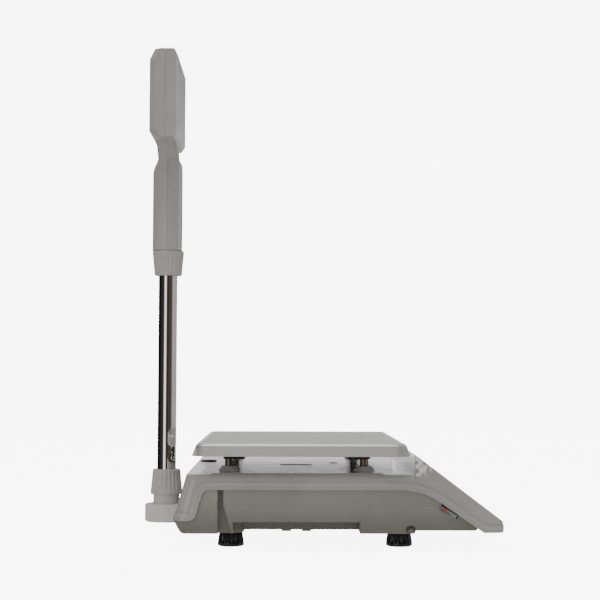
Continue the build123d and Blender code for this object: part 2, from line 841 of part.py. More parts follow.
def foot_knob(x, y):
    """Ribbed knob, flared at the table, with a bore for its stem."""
    outline = Plane.XZ * Polyline(
        (0, 0),
        (foot_radius - 1.6, 0),
        (foot_radius, 1.4),
        (foot_radius, 3.4),
        (foot_neck_radius, foot_height - 1.2),
        (foot_neck_radius - 1.2, foot_height),
        (0, foot_height),
        close=True,
    )
    knob = revolve(make_face(outline), Axis.Z)
    groove = Pos(foot_neck_radius + 0.9, 0, foot_groove_z + foot_height / 2) * Rot(0, 0, 45) * Box(
        2 * foot_groove_depth, 2 * foot_groove_depth, foot_height
    )
    knob -= [Rot(0, 0, 360 / foot_ribs * index) * groove for index in range(foot_ribs)]
    knob -= disc(0, 0, stem_radius + running_gap, stem_bottom_z - 0.3, foot_height + 1)
    return Pos(x, y, 0) * knob


def foot_stem(x, y):
    """Threaded stem, drawn at its outer diameter, with a rounded top."""
    rod = disc(x, y, stem_radius, stem_bottom_z, stem_top_z - 2)
    return chamfer(rod.faces().sort_by(Axis.Z)[-1].edges(), 0.8)


# Pole bracket, pole and clamp collars
plate_length = 52.0
plate_half_width = 22.0
bracket_front_x = rear_lip_x + plate_length
bracket_side = side_face(
    [
        (pole_x, boss_bottom_z),
        (bracket_front_x, boss_bottom_z),
        (bracket_front_x, base_bottom_z),
        (rear_lip_x + 11.0, base_bottom_z),
        (rear_lip_x + 7.6, base_bottom_z + 1.1),
        (rear_lip_x + 4.6, base_bottom_z + 5.4),
        (rear_lip_x + 0.6, rear_lip_z - 0.4),
        (rear_lip_x - 0.8, rear_lip_z),
        (rear_lip_x - 0.8, boss_top_z),
        (pole_x, boss_top_z),
    ]
)
arm_half_width = boss_radius - 1
boss_chamfer = 1.2
slit_width = 1.2
boss = disc(pole_x, 0, boss_radius, boss_bottom_z, boss_top_z)
boss = chamfer(boss.edges(), boss_chamfer) & block(
    (rear_x, rear_lip_x - 1), (-boss_radius, boss_radius), (0, boss_top_z)
)
arm = across(bracket_side, arm_half_width)
neck = disc(pole_x, 0, neck_radius, boss_top_z - 1, collar_seat_z)
collet = disc(pole_x, 0, grip_radius, collar_seat_z - 1, collar_seat_z + collar_height - 5)
pole_bracket = boss + arm + neck + collet
for index in range(4):
    slit = Pos(pole_x, 0, collar_seat_z + collar_height) * Rot(0, 0, 45 * index)
    pole_bracket -= slit * Box(2 * collar_wide_radius, slit_width, 2 * collar_height - 8)
pole_bracket -= disc(pole_x, 0, tube_radius, tube_bottom_z, collar_seat_z + collar_height)
for x, y in bracket_screw_places:
    pole_bracket -= disc(x, y, screw_radius, 0, base_bottom_z)
    pole_bracket -= disc(x, y, screw_head_radius + screw_head_gap, 0, boss_bottom_z + screw_head_height)
pole_tube = disc(pole_x, 0, tube_radius, tube_bottom_z, tube_top_z) - disc(
    pole_x, 0, tube_radius - tube_wall, tube_bottom_z, tube_top_z
)


def collar():
    """Fluted clamp collar standing on its wide end, with a soft rounded top edge."""
    outside = Plane.XZ * Polyline(
        (0, 0),
        (collar_wide_radius - 0.8, 0),
        (collar_wide_radius, 0.8),
        (collar_wide_radius - 0.1, 3.0),
        (collar_narrow_radius, collar_height - 1.0),
        (collar_narrow_radius - 1.0, collar_height),
        (0, collar_height),
        close=True,
    )
    body = revolve(make_face(outside), Axis.Z)
    lean = degrees(atan2(collar_wide_radius - collar_narrow_radius, collar_height))
    blade = Pos(0, 0, collar_height / 2 + flute_start) * Rot(0, 0, 45) * Box(
        flute_width, flute_width, collar_height + 2
    )
    flute = Pos(collar_wide_radius + flute_offset, 0, 0) * Rot(0, -lean, 0) * blade
    body -= [Rot(0, 0, 360 / collar_ribs * index) * flute for index in range(collar_ribs)]
    body -= disc(0, 0, grip_radius + clamp_gap, 0, collar_height - 4)
    body -= disc(0, 0, tube_radius + clamp_gap, 0, collar_height)
    return body


lower_collar = Pos(pole_x, 0, collar_seat_z + clamp_gap) * collar()
upper_collar = Pos(pole_x, 0, stem_seat_z - clamp_gap) * Rot(180, 0, 0) * collar()

# Display head: two shells that also form the neck and the stem
head_rear_x = pole_x - head_rear_reach
head_front_x = pole_x + head_front_reach
head_edge_x = 5.8
head_edge_z = 11.5
head_side_bevel = 6.0
neck_width = 34.0
funnel_width = 62.0
neck_corner = 8.0
head_foot_rise = 6.8
head_edge_step = 1.3
seam_width = 0.6
seam_depth = 0.5
shoulder_drop = 10.0
stem_drop = 17.0


def head_form(inset):
    """Solid form of head, neck and stem, drawn in by inset."""
    outline = side_face(
        [
            (head_rear_x, head_bottom_z + head_foot_rise),
            (head_rear_x, head_top_z - head_edge_z),
            (head_rear_x + head_edge_x, head_top_z),
            (head_front_x - head_edge_x + head_edge_step, head_top_z),
            (head_front_x, head_top_z - head_edge_z + 2.4),
            (head_front_x, head_bottom_z + head_foot_rise),
            (head_front_x - head_edge_x + head_edge_step, head_bottom_z),
            (head_rear_x + head_edge_x, head_bottom_z),
        ]
    )
    half = head_width / 2 - inset
    block_form = across(drawn_in(outline, inset), half)
    front_of_rear_edges = head_rear_x + head_edge_x + inset - 0.3
    edges = [
        edge
        for edge in block_form.edges()
        if abs(abs(edge.center().Y) - half) < 0.01 and edge.center().X < front_of_rear_edges
    ]
    block_form = chamfer(edges, head_side_bevel - inset / 2)
    funnel_top = Plane(origin=((head_rear_x + head_front_x) / 2, 0, head_bottom_z + 4)) * RectangleRounded(
        head_front_x - head_rear_x - 10 - 2 * inset, funnel_width - 2 * inset, neck_corner - inset
    )
    neck_face = Plane(origin=(pole_x - 0.2, 0, head_neck_z)) * RectangleRounded(
        2 * (head_neck_half - inset), neck_width - 2 * inset, neck_corner - inset
    )
    shoulder_face = Plane(origin=(pole_x, 0, head_neck_z - shoulder_drop)) * Circle(
        head_stem_radius - 1.2 - inset
    )
    stem_face = Plane(origin=(pole_x, 0, head_neck_z - stem_drop)) * Circle(head_stem_radius - inset)
    funnel = loft([neck_face, funnel_top], ruled=True)
    shoulder = loft([neck_face, shoulder_face], ruled=True) + loft([shoulder_face, stem_face], ruled=True)
    return block_form + funnel + shoulder + disc(
        pole_x, 0, head_stem_radius - inset, stem_seat_z, head_neck_z - stem_drop
    )


# Head shells, split at the pole axis, with a fine groove along the seam
stem_floor_z = stem_seat_z + 12
spigot_bottom_z = stem_seat_z - collar_height + 5
head_outer = head_form(0)
head_reach = head_width / 2 + 1
head_x = (head_rear_x - 1, head_front_x + 1)
head_hollow = head_form(head_wall) & block(head_x, (-head_reach, head_reach), (stem_floor_z, head_top_z))
head_shell = head_outer - head_hollow
head_shell += disc(pole_x, 0, grip_radius, spigot_bottom_z, stem_seat_z + 1)
head_shell -= disc(pole_x, 0, tube_radius + running_gap, spigot_bottom_z, tube_top_z + 0.2)
head_shell -= disc(pole_x, 0, tube_radius - tube_wall, tube_top_z, stem_floor_z + 1)
seam_slab = block(
    (pole_x - seam_width / 2, pole_x + seam_width / 2),
    (-head_reach, head_reach),
    (stem_seat_z, head_top_z + 1),
)
head_shell -= (head_outer - head_form(seam_depth)) & seam_slab
pane_z = (head_bottom_z + head_foot_rise + pane_margin_z, head_top_z - head_edge_z - pane_margin_z)
pane_x = (head_rear_x, head_rear_x + pane_thickness)
pane_y = (-pane_half_width, pane_half_width)
head_shell -= block((pane_x[0] - 1, pane_x[1]), pane_y, pane_z)
head_shell -= block(
    (pane_x[0] - 1, pane_x[1] + 2 * head_wall), (pane_y[0] + pane_ledge, pane_y[1] - pane_ledge),
    (pane_z[0] + pane_ledge, pane_z[1] - pane_ledge),
)
head_window = block(pane_x, pane_y, pane_z)
display_x = head_rear_x + 8.0
display_half_width = 48.0
display_z = (pane_z[0] + 5, pane_z[1] - 5)
display_thickness = 1.6
display_face = 4.5
display_border = 4.0
post_margin = 3.5
head_display = block(
    (display_x, display_x + display_thickness), (-display_half_width, display_half_width), display_z
)
head_display += block(
    (display_x - display_face, display_x),
    (display_border - display_half_width, display_half_width - display_border),
    (display_z[0] + display_border, display_z[1] - display_border),
)
head_posts = [
    (side * (display_half_width - post_margin), z)
    for side in (-1, 1)
    for z in (display_z[0] + post_margin, display_z[1] - post_margin)
]
head_inside_x = head_front_x - head_wall
head_screw_y = head_width / 2 - 7.5
head_screw_places = [
    (side * head_screw_y, z) for side in (-1, 1) for z in (head_bottom_z + 18, head_top_z - 22)
]
head_screws = []
head_screw_radius = 1.5
head_screw_head_radius = 2.8
head_pillar_radius = 3.6
for y, z in head_screw_places:
    turn = Pos(0, y, z) * Rot(0, 90, 0)
    column = turn * Pos(0, 0, (head_inside_x + head_rear_x + head_wall) / 2) * Cylinder(
        head_pillar_radius, head_inside_x - head_rear_x - head_wall + 1
    )
    head_shell += column & head_form(head_wall / 2)
    head_shell -= turn * Pos(0, 0, (head_front_x + pole_x - 9) / 2) * Cylinder(
        head_screw_radius, head_front_x - pole_x + 9
    )
    head_shell -= turn * Pos(0, 0, head_front_x) * Cylinder(
        head_screw_head_radius + screw_head_gap, 2 * (head_wall + 1.6)
    )
    screw_head = turn * Pos(0, 0, head_front_x - head_wall - 0.6) * Cylinder(head_screw_head_radius, 2.0)
    shank_low = pole_x - 8
    shank_high = head_front_x - head_wall - 1.6
    shank = Cylinder(head_screw_radius, shank_high - shank_low)
    head_screws.append(screw_head + turn * Pos(0, 0, (shank_low + shank_high) / 2) * shank)
head_z = (spigot_bottom_z - 1, head_top_z + 1)
head_customer_shell = head_shell & block((head_rear_x - 1, pole_x), (-head_reach, head_reach), head_z)
head_operator_shell = head_shell & block((pole_x, head_front_x + 1), (-head_reach, head_reach), head_z)
for y, z in head_posts:
    length = head_inside_x + 0.5 - display_x - display_thickness
    head_operator_shell += Pos(display_x + display_thickness + length / 2, y, z) * Rot(0, 90, 0) * Cylinder(
        2.6, length
    )

# Main board, level and screws
component_z = main_board_z + board_thickness
main_board = block(
    (main_board_rear_x, main_board_front_x),
    (-main_board_half_width, main_board_half_width),
    (main_board_z, component_z),
)
for start, length, y_span, height in (
    (12.0, 20.0, (-12, 12), 3.0),
    (40.0, 10.0, (-40, -10), 5.0),
    (40.0, 6.0, (6, 44), 6.0),
    (16.0, 10.0, (26, 40), 8.0),
    (58.0, 16.0, (-28, 28), 2.0),
):
    low_x = main_board_rear_x + start
    main_board += block((low_x, low_x + length), y_span, (component_z, component_z + height))
level_holder = disc(level_x, level_y, level_cup_radius - 0.1, deck_z - level_depth, deck_z)
level_holder += disc(level_x, level_y, level_radius, deck_z, deck_z + 1.2)
level_holder -= disc(level_x, level_y, level_vial_radius, deck_z - level_depth + 1.4, deck_z + 2)
level_vial = disc(level_x, level_y, level_vial_radius, deck_z - level_depth + 1.4, deck_z + 0.6)
level_vial = chamfer(level_vial.faces().sort_by(Axis.Z)[-1].edges(), 0.8)


def screw(x, y, low, high):
    """Self-tapping screw driven upwards, its head at the low end."""
    return disc(x, y, screw_head_radius, low, low + screw_head_height) + disc(
        x, y, screw_radius, low + screw_head_height, high
    )


screws = [
    screw(x, y, pillar_top_z - 10 - screw_head_height, pillar_top_z + 11) for x, y in housing_screw_places
]
screws += [screw(x, y, boss_bottom_z, chassis_z - 2) for x, y in bracket_screw_places]

parts = {
    "base_housing": base,
    "top_cover": cover,
    "display_window": window,
    "operator_display": operator_display,
    "key_panel": key_panel,
    "key_board": key_board,
    "main_board": main_board,
    "chassis_plate": chassis_plate,
    "cell_spacer_lower": cell_spacer_lower,
    "load_cell": load_cell,
    "cell_spacer_upper": cell_spacer_upper,
    "cell_bolts": cell_bolts,
    "spider_bolts": spider_bolts,
    "spider": spider,
    "tray_posts": tray_posts,
    "tray_rests": tray_rests,
    "tray": tray,
    "overload_stops": overload_stops,
    "deck_domes": deck_domes,
    "battery": battery,
    "battery_door": battery_door,
    "switch_body": switch_body,
    "switch_rocker": switch_rocker,
    "power_inlet": power_inlet,
    "level_vial": level_vial,
    "level_holder": level_holder,
    "housing_screws": screws,
    "pole_bracket": pole_bracket,
    "pole_tube": pole_tube,
    "lower_collar": lower_collar,
    "upper_collar": upper_collar,
    "head_customer_shell": head_customer_shell,
    "head_operator_shell": head_operator_shell,
    "head_window": head_window,
    "head_display": head_display,
    "head_screws": head_screws,
}
for index, (x, y) in enumerate(foot_places, start=1):
    parts[f"foot_stem_{index}"] = foot_stem(x, y)
    parts[f"foot_knob_{index}"] = foot_knob(x, y)
for index, (down, side) in enumerate(key_places, start=1):
    parts[f"key_{index:02d}"] = key(down, side)

os.makedirs("parts", exist_ok=True)
for name, shape in parts.items():
    solids = shape if isinstance(shape, list) else [shape]
    export_step(Compound([solid for item in solids for solid in item.solids()]), f"parts/{name}.step")
print(len(parts), "parts")
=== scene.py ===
"""Looks of a price computing scale: finishes, fine pieces, light and camera.

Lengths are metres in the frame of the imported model: +X towards the operator,
+Y across to the far side and +Z up along the pole.
"""

from __future__ import annotations

import logging
from dataclasses import dataclass
from enum import Enum
from math import asin, cos, pi, radians, sin
from typing import Iterable, Optional, Sequence, Union

import bpy
import numpy as np
from mathutils import Matrix, Vector


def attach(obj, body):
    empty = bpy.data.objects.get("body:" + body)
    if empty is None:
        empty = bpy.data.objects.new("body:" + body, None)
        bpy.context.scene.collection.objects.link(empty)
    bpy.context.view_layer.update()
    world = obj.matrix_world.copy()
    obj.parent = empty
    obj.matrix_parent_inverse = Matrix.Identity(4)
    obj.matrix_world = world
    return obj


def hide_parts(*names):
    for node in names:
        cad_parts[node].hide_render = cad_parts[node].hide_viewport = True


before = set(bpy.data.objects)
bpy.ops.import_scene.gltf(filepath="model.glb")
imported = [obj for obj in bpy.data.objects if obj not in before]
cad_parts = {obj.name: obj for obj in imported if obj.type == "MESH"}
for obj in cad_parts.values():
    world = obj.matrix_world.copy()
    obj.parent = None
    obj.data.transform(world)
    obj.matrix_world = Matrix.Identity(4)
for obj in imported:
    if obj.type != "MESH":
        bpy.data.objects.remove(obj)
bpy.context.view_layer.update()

logging.basicConfig(level=logging.INFO, format="%(message)s")
log = logging.getLogger("scale")

Colour = Place = tuple[float, float, float]
Span = tuple[float, float]
Surface = tuple[np.ndarray, list[tuple[int, ...]]]
Socket = bpy.types.NodeSocket


def tint(red: float, green: float, blue: float) -> Colour:
    """Turns a colour as a screen shows it, 0 to 255, into the linear values of a shader.

    Args:
        red: Red part, 0 to 255.
        green: Green part, 0 to 255.
        blue: Blue part, 0 to 255.

    Returns:
        The three linear values, 0 to 1.
    """
    screen = np.array([red, green, blue]) / 255
    linear = np.where(screen <= 0.04045, screen / 12.92, ((screen + 0.055) / 1.055) ** 2.4)
    return tuple(float(value) for value in linear)


class Along(Enum):
    """A direction of the model that a pattern follows."""

    X = 0
    Y = 1
    Z = 2


# Shader maths


class Amount:
    """A number that varies over a surface: one output socket with Python's operators."""

    def __init__(self, sheet: "Sheet", socket: Socket) -> None:
        """Keeps the socket and the sheet of nodes that it belongs to."""
        self.sheet = sheet
        self.socket = socket

    def _pair(self, operation: str, first: "Number", second: "Number") -> "Amount":
        """Adds one Math node.

        Args:
            operation: The Math node's operation.
            first: Its first value.
            second: Its second value.

        Returns:
            The node's result.
        """
        made = self.sheet.node("ShaderNodeMath", {"operation": operation}, {0: first, 1: second})
        return Amount(self.sheet, made.outputs[0])

    def __add__(self, other: "Number") -> "Amount":
        """Returns this amount plus the other."""
        return self._pair("ADD", self, other)

    __radd__ = __add__

    def __mul__(self, other: "Number") -> "Amount":
        """Returns this amount times the other."""
        return self._pair("MULTIPLY", self, other)

    def __sub__(self, other: "Number") -> "Amount":
        """Returns this amount less the other."""
        return self._pair("SUBTRACT", self, other)

    def __rsub__(self, other: "Number") -> "Amount":
        """Returns the other amount less this one."""
        return self._pair("SUBTRACT", other, self)

    def __abs__(self) -> "Amount":
        """Returns this amount without its sign."""
        return self._pair("ABSOLUTE", self, 0.0)

    def above(self, level: "Number") -> "Amount":
        """Returns 1 where this amount is over the level, and 0 elsewhere."""
        return self._pair("GREATER_THAN", self, level)

    def step(self, low: float, high: float) -> "Amount":
        """Returns 0 below low, 1 above high and a smooth step between.

        Args:
            low: Where the step begins.
            high: Where it ends. It may be under low, for a falling step.

        Returns:
            The step.
        """
        made = self.sheet.node(
            "ShaderNodeMapRange",
            {"interpolation_type": "SMOOTHSTEP"},
            {"Value": self, "From Min": low, "From Max": high},
        )
        return Amount(self.sheet, made.outputs[0])


Number = Union[Amount, float]


class Sheet:
    """The nodes of one material, and the patterns that its finish is made of."""

    def __init__(self, name: str) -> None:
        """Starts an empty material.

        Args:
            name: The material's name.
        """
        self.material = bpy.data.materials.new(name)
        self.material.use_nodes = True
        self.tree = self.material.node_tree
        self.tree.nodes.clear()
        self._place: Optional[Socket] = None

    def node(
        self,
        kind: str,
        settings: Optional[dict[str, object]] = None,
        inputs: Optional[dict[Union[int, str], object]] = None,
    ) -> bpy.types.Node:
        """Adds a node, its settings first and then its inputs.

        Args:
            kind: The node's type.
            settings: Its own settings, such as a Math node's operation.
            inputs: A value, an Amount or a socket for each input that is used.

        Returns:
            The node.
        """
        made = self.tree.nodes.new(kind)
        for key, value in (settings or {}).items():
            setattr(made, key, value)
        for key, value in (inputs or {}).items():
            if isinstance(value, Amount):
                self.tree.links.new(value.socket, made.inputs[key])
            elif isinstance(value, Socket):
                self.tree.links.new(value, made.inputs[key])
            else:
                made.inputs[key].default_value = value
        return made

    @property
    def place(self) -> Socket:
        """The place on the model, in metres."""
        if self._place is None:
            self._place = self.node("ShaderNodeTexCoord").outputs["Object"]
        return self._place

    def moved(self, stretch: Sequence[float], turn: Sequence[float]) -> Socket:
        """Returns the place after it is stretched and turned.

        Args:
            stretch: Factor along each axis.
            turn: Turn about each axis, in radians.

        Returns:
            The new place.
        """
        inputs = {"Vector": self.place, "Scale": stretch, "Rotation": turn}
        return self.node("ShaderNodeMapping", {}, inputs).outputs[0]

    def along(self, axis: Along) -> Amount:
        """Returns the place along one axis, in metres."""
        split = self.node("ShaderNodeSeparateXYZ", {}, {0: self.place})
        return Amount(self, split.outputs[axis.value])

    def cloud(
        self,
        size: float,
        detail: float = 2.0,
        stretch: Sequence[float] = (1, 1, 1),
        turn: Sequence[float] = (0, 0, 0),
    ) -> Amount:
        """Returns a soft noise, about 0.5 on average.

        Args:
            size: How far apart its blots are, in metres.
            detail: How much finer noise lies on it.
            stretch: Factors that draw it out into streaks.
            turn: Turn of the streaks, in radians.

        Returns:
            The noise.
        """
        made = self.node(
            "ShaderNodeTexNoise",
            {},
            {"Vector": self.moved(stretch, turn), "Scale": 1 / size, "Detail": detail},
        )
        return Amount(self, made.outputs["Fac"])

    def cells(self, size: float) -> Amount:
        """Returns the distance to the nearest of scattered points, for spark texture."""
        made = self.node("ShaderNodeTexVoronoi", {}, {"Vector": self.place, "Scale": 1 / size})
        return Amount(self, made.outputs["Distance"])

    def blend(self, amount: Number, low: object, high: object) -> Socket:
        """Mixes two colours.

        Args:
            amount: 0 for low, 1 for high.
            low: A colour or a colour socket.
            high: A colour or a colour socket.

        Returns:
            The mixed colour.
        """
        full = [v if isinstance(v, Socket) else (*v, 1.0) for v in (low, high)]
        made = self.node(
            "ShaderNodeMix",
            {"data_type": "RGBA"},
            {"Factor": amount, 6: full[0], 7: full[1]},
        )
        return made.outputs[2]

    def relief(self, height: Amount, depth: float) -> Socket:
        """Turns a height into a bump of that depth, in metres."""
        made = self.node(
            "ShaderNodeBump", {}, {"Height": height, "Distance": depth, "Strength": 1.0}
        )
        return made.outputs[0]

    def principled(self, **inputs: object) -> Socket:
        """Adds a Principled shader.

        Args:
            inputs: The shader's inputs, with "_" for the spaces in their names.

        Returns:
            The shader's output.
        """
        named = {key.replace("_", " "): value for key, value in inputs.items()}
        for key in ("Base Color", "Emission Color"):
            if key in named and not isinstance(named[key], Socket):
                named[key] = (*named[key], 1.0)
        return self.node("ShaderNodeBsdfPrincipled", {}, named).outputs[0]

    def end(self, surface: Socket) -> bpy.types.Material:
        """Ends the material in a shader's output."""
        self.node("ShaderNodeOutputMaterial", {}, {"Surface": surface})
        return self.material


# Finishes. A pair named _STEP is the range over which a soft noise rises from 0 to 1.

FLOW_SIZE, FLOW_STRETCH, FLOW_STEP = 0.05, (1, 1, 0.5), (0.3, 0.7)
MARK_SIZE, MARK_STEP, MARK_SHARE = 0.004, (0.52, 0.75), 0.06
WEAR_SIZE, WEAR_STEP, WEAR_ROUGHNESS = 0.012, (0.35, 0.7), 0.08
SPARK_ROUGHNESS = 0.05
SMEAR_STRETCH, SMEAR_STEP, SMEAR_SHADE = (1, 1, 0.4), (0.45, 0.8), 0.88
DUST_SIZE, DUST_STEP, DUST_ROUGHNESS = 0.006, (0.45, 0.85), 0.2
HAZE_SIZE, HAZE_STEP, HAZE_SHADE = 0.02, (0.4, 0.8), 0.85
HAZE_SHARE, HAZE_ROUGHNESS, ACRYLIC_IOR = 0.4, 0.06, 1.49
BLOT_TIMES, BLOT_STEP = 0.6, (0.42, 0.6)
MILKY_SHARE, MILKY_FADE, MILKY_ROUGHNESS = 0.6, 0.01, 0.25


@dataclass(frozen=True)
class Finish:
    """What a surface is made of, under the name of its material."""

    name: str

    def shade(self, sheet: Sheet) -> Socket:
        """Builds the finish out of nodes.

        Args:
            sheet: The sheet of nodes that it is built on.

        Returns:
            The shader's output.
        """
        raise NotImplementedError

    def make(self) -> bpy.types.Material:
        """Returns the material."""
        sheet = Sheet(self.name)
        return sheet.end(self.shade(sheet))


@dataclass(frozen=True)
class MouldedShell(Finish):
    """Shell plastic: a fine spark texture, faint flow marks, handling dirt marks and painted shade.

    Painted shade darkens it towards the bottom: full below one height, fading out over a
    reach above it. From a place along X on, it has a lighter colour, painted light on the
    side that faces the lamp, and between two heights it is polished.
    """

    colour: Colour
    soil_and_shade: Colour
    roughness: float = 0.42
    mottle: float = 0.05
    spark: float = 0.0007
    spark_depth: float = 0.00004
    # Painted shade low down: the height it is full below, its reach above that, and its share.
    low_shade_top: float = 0.0
    low_shade_reach: float = 0.02
    low_shade_share: float = 0.35
    # Painted light: where the lighter colour starts along X, and that colour.
    painted_light_from: Optional[float] = None
    painted_light: Colour = (0.5, 0.5, 0.5)
    polish: float = 0.0
    polish_from: float = 0.0
    polish_to: float = 0.0

    def shade(self, sheet: Sheet) -> Socket:
        """Builds the plastic: colour flows, dirt marks, painted shade and light; the spark texture
        is relief.

        Args:
            sheet: The sheet of nodes that it is built on.

        Returns:
            The shader's output.
        """
        flow = sheet.cloud(FLOW_SIZE, 3, FLOW_STRETCH)
        pale = tuple(min(1.0, v * (1 + self.mottle)) for v in self.colour)
        deep = tuple(v * (1 - self.mottle) for v in self.colour)
        body = sheet.blend(flow.step(*FLOW_STEP), deep, pale)
        # Painted shade: darker towards the bottom, full below one height and fading out above it.
        low = sheet.along(Along.Z).step(self.low_shade_top + self.low_shade_reach, self.low_shade_top)
        marks = sheet.cloud(MARK_SIZE, 4).step(*MARK_STEP)
        # Painted light: from a place along X on, a lighter colour for the side that faces the lamp.
        if self.painted_light_from is not None:
            body = sheet.blend(sheet.along(Along.X).above(self.painted_light_from), body, self.painted_light)
        # The dark colour takes both the painted shade low down and the random dirt marks.
        body = sheet.blend(low * self.low_shade_share + marks * MARK_SHARE, body, self.soil_and_shade)
        grain = sheet.cells(self.spark)
        wear = sheet.cloud(WEAR_SIZE, 3).step(*WEAR_STEP)
        smoothest = self.roughness - WEAR_ROUGHNESS / 2
        rough = wear * WEAR_ROUGHNESS + grain * SPARK_ROUGHNESS + smoothest
        if self.polish:
            height = sheet.along(Along.Z)
            polished = height.above(self.polish_from) * (1 - height.above(self.polish_to))
            rough = rough - polished * self.polish
        return sheet.principled(
            Base_Color=body,
            Roughness=rough,
            Normal=sheet.relief(grain, self.spark_depth),
            Specular_IOR_Level=0.5,
        )


@dataclass(frozen=True)
class BrushedSheet(Finish):
    """Stainless sheet with the streaks of its brushing and a few fine scratches.

    The bend between the two heights of edge, and all above rim_from, get a painted
    highlight; the top above the bend gets painted darker shade, and the end is dull.
    """

    colour: Colour
    streaks: Along = Along.X
    roughness: float = 0.36
    contrast: float = 0.1
    depth: float = 0.00001
    streak_size: float = 0.0006
    streak_stretch: float = 0.01
    scratch_size: float = 0.0011
    scratch_stretch: Place = (1.0, 0.03, 1.0)
    scratch_turn: Place = (0, 0, 0.6)
    scratch_step: Span = (0.76, 0.8)
    # Heights of the bend and the rim, and the colours of their painted highlight and of the painted
    # shade on the top.
    edge: Optional[Span] = None
    rim_from: float = 1.0
    painted_highlight: Colour = (0.95, 0.95, 0.94)
    painted_top_shade: Colour = (0.5, 0.5, 0.49)
    dull_before: float = -1.0
    dull_share: float = 0.85
    fine_share: float = 0.5
    broad_share: float = 0.3
    patch_share: float = 0.2
    broad_times: float = 10
    patch_times: float = 100
    fine_roughness: float = 0.14
    patch_roughness: float = 0.06
    scratch_roughness: float = 0.08
    scratch_depth: float = 0.6

    def shade(self, sheet: Sheet) -> Socket:
        """Builds the sheet: three sizes of streak mix in its colour, and scratches cross them.

        Args:
            sheet: The sheet of nodes that it is built on.

        Returns:
            The shader's output.
        """
        stretch = [1.0, 1.0, 1.0]
        stretch[self.streaks.value] = self.streak_stretch
        fine = sheet.cloud(self.streak_size, 2, stretch)
        broad = sheet.cloud(self.streak_size * self.broad_times, 3, stretch)
        patch = sheet.cloud(self.streak_size * self.patch_times, 2)
        scratch = sheet.cloud(self.scratch_size, 1, self.scratch_stretch, self.scratch_turn)
        scratch = scratch.step(*self.scratch_step)
        pale = tuple(min(1.0, v * (1 + self.contrast)) for v in self.colour)
        deep = tuple(v * (1 - self.contrast) for v in self.colour)
        streaks = fine * self.fine_share + broad * self.broad_share + patch * self.patch_share
        body = sheet.blend(streaks, deep, pale)
        # Painted highlight on the bend and the rim above it, and painted darker shade on the flat
        # top.
        if self.edge is not None:
            height = sheet.along(Along.Z)
            bend = height.above(self.edge[0]) * (1 - height.above(self.edge[1]))
            body = sheet.blend(height.above(self.edge[1]), body, self.painted_top_shade)
            body = sheet.blend(bend + height.above(self.rim_from), body, self.painted_highlight)
        dull = 1 - sheet.along(Along.X).above(self.dull_before)
        rough = self.roughness + fine * self.fine_roughness - self.fine_roughness / 2
        rough = rough + patch * self.patch_roughness + scratch * self.scratch_roughness
        return sheet.principled(
            Base_Color=body,
            Metallic=1.0 - dull * self.dull_share,
            Roughness=rough,
            Normal=sheet.relief(fine + scratch * self.scratch_depth, self.depth),
        )


@dataclass(frozen=True)
class PlatedMetal(Finish):
    """Chrome or zinc plate, with finger smears that dull it a little."""

    colour: Colour
    roughness: float = 0.05
    smear: float = 0.05
    smear_size: float = 0.018

    def shade(self, sheet: Sheet) -> Socket:
        """Builds the plate: bright where it is clean, duller and darker under a smear.

        Args:
            sheet: The sheet of nodes that it is built on.

        Returns:
            The shader's output.
        """
        smear = sheet.cloud(self.smear_size, 4, SMEAR_STRETCH).step(*SMEAR_STEP)
        dull = tuple(v * SMEAR_SHADE for v in self.colour)
        return sheet.principled(
            Base_Color=sheet.blend(smear, self.colour, dull),
            Metallic=1.0,
            Roughness=self.roughness + smear * self.smear,
        )


@dataclass(frozen=True)
class BlackMoulding(Finish):
    """Glossy or dull black plastic, greyed where hands and dust reach it."""

    colour: Colour
    dust: Colour
    roughness: float = 0.25
    dusting: float = 0.25
    coat: float = 0.0
    grain: float = 0.00003
    grain_size: float = 0.0008

    def shade(self, sheet: Sheet) -> Socket:
        """Builds the plastic: dust greys and dulls it in blots, over a fine grain.

        Args:
            sheet: The sheet of nodes that it is built on.

        Returns:
            The shader's output.
        """
        dusty = sheet.cloud(DUST_SIZE, 5).step(*DUST_STEP)
        grain = sheet.cloud(self.grain_size, 3)
        return sheet.principled(
            Base_Color=sheet.blend(dusty * self.dusting, self.colour, self.dust),
            Roughness=self.roughness + dusty * DUST_ROUGHNESS,
            Normal=sheet.relief(grain, self.grain),
            Coat_Weight=self.coat,
        )


@dataclass(frozen=True)
class ClearMoulding(Finish):
    """Clear plastic whose skin ripples slightly where the moulding shrank."""

    colour: Colour
    roughness: float = 0.06
    ripple: float = 0.0002
    ripple_size: float = 0.006
    clearness: float = 0.9
    milky_from: Optional[float] = None
    milky: Colour = (0.6, 0.6, 0.58)
    blotch: Colour = (0.3, 0.3, 0.27)

    def shade(self, sheet: Sheet) -> Socket:
        """Builds the clear plastic. Beyond milky_from, across, it is thick and milky.

        Args:
            sheet: The sheet of nodes that it is built on.

        Returns:
            The shader's output.
        """
        wave = sheet.cloud(self.ripple_size, 3)
        haze = sheet.cloud(HAZE_SIZE, 3).step(*HAZE_STEP)
        thick: Number = 1.0
        if self.milky_from is not None:
            thick = abs(sheet.along(Along.Y)).step(self.milky_from - MILKY_FADE, self.milky_from)
        skin = sheet.relief(wave * thick, self.ripple)
        hazy = tuple(v * HAZE_SHADE for v in self.colour)
        clear = sheet.principled(
            Base_Color=sheet.blend(haze * HAZE_SHARE, self.colour, hazy),
            Roughness=self.roughness + haze * HAZE_ROUGHNESS,
            Transmission_Weight=self.clearness,
            IOR=ACRYLIC_IOR,
            Normal=skin,
        )
        if self.milky_from is None:
            return clear
        blots = sheet.cloud(self.ripple_size * BLOT_TIMES, 2).step(*BLOT_STEP)
        cloudy = sheet.principled(
            Base_Color=sheet.blend(blots, self.milky, self.blotch),
            Roughness=MILKY_ROUGHNESS,
            Normal=skin,
        )
        parts = {0: thick * MILKY_SHARE, 1: clear, 2: cloudy}
        return sheet.node("ShaderNodeMixShader", {}, parts).outputs[0]


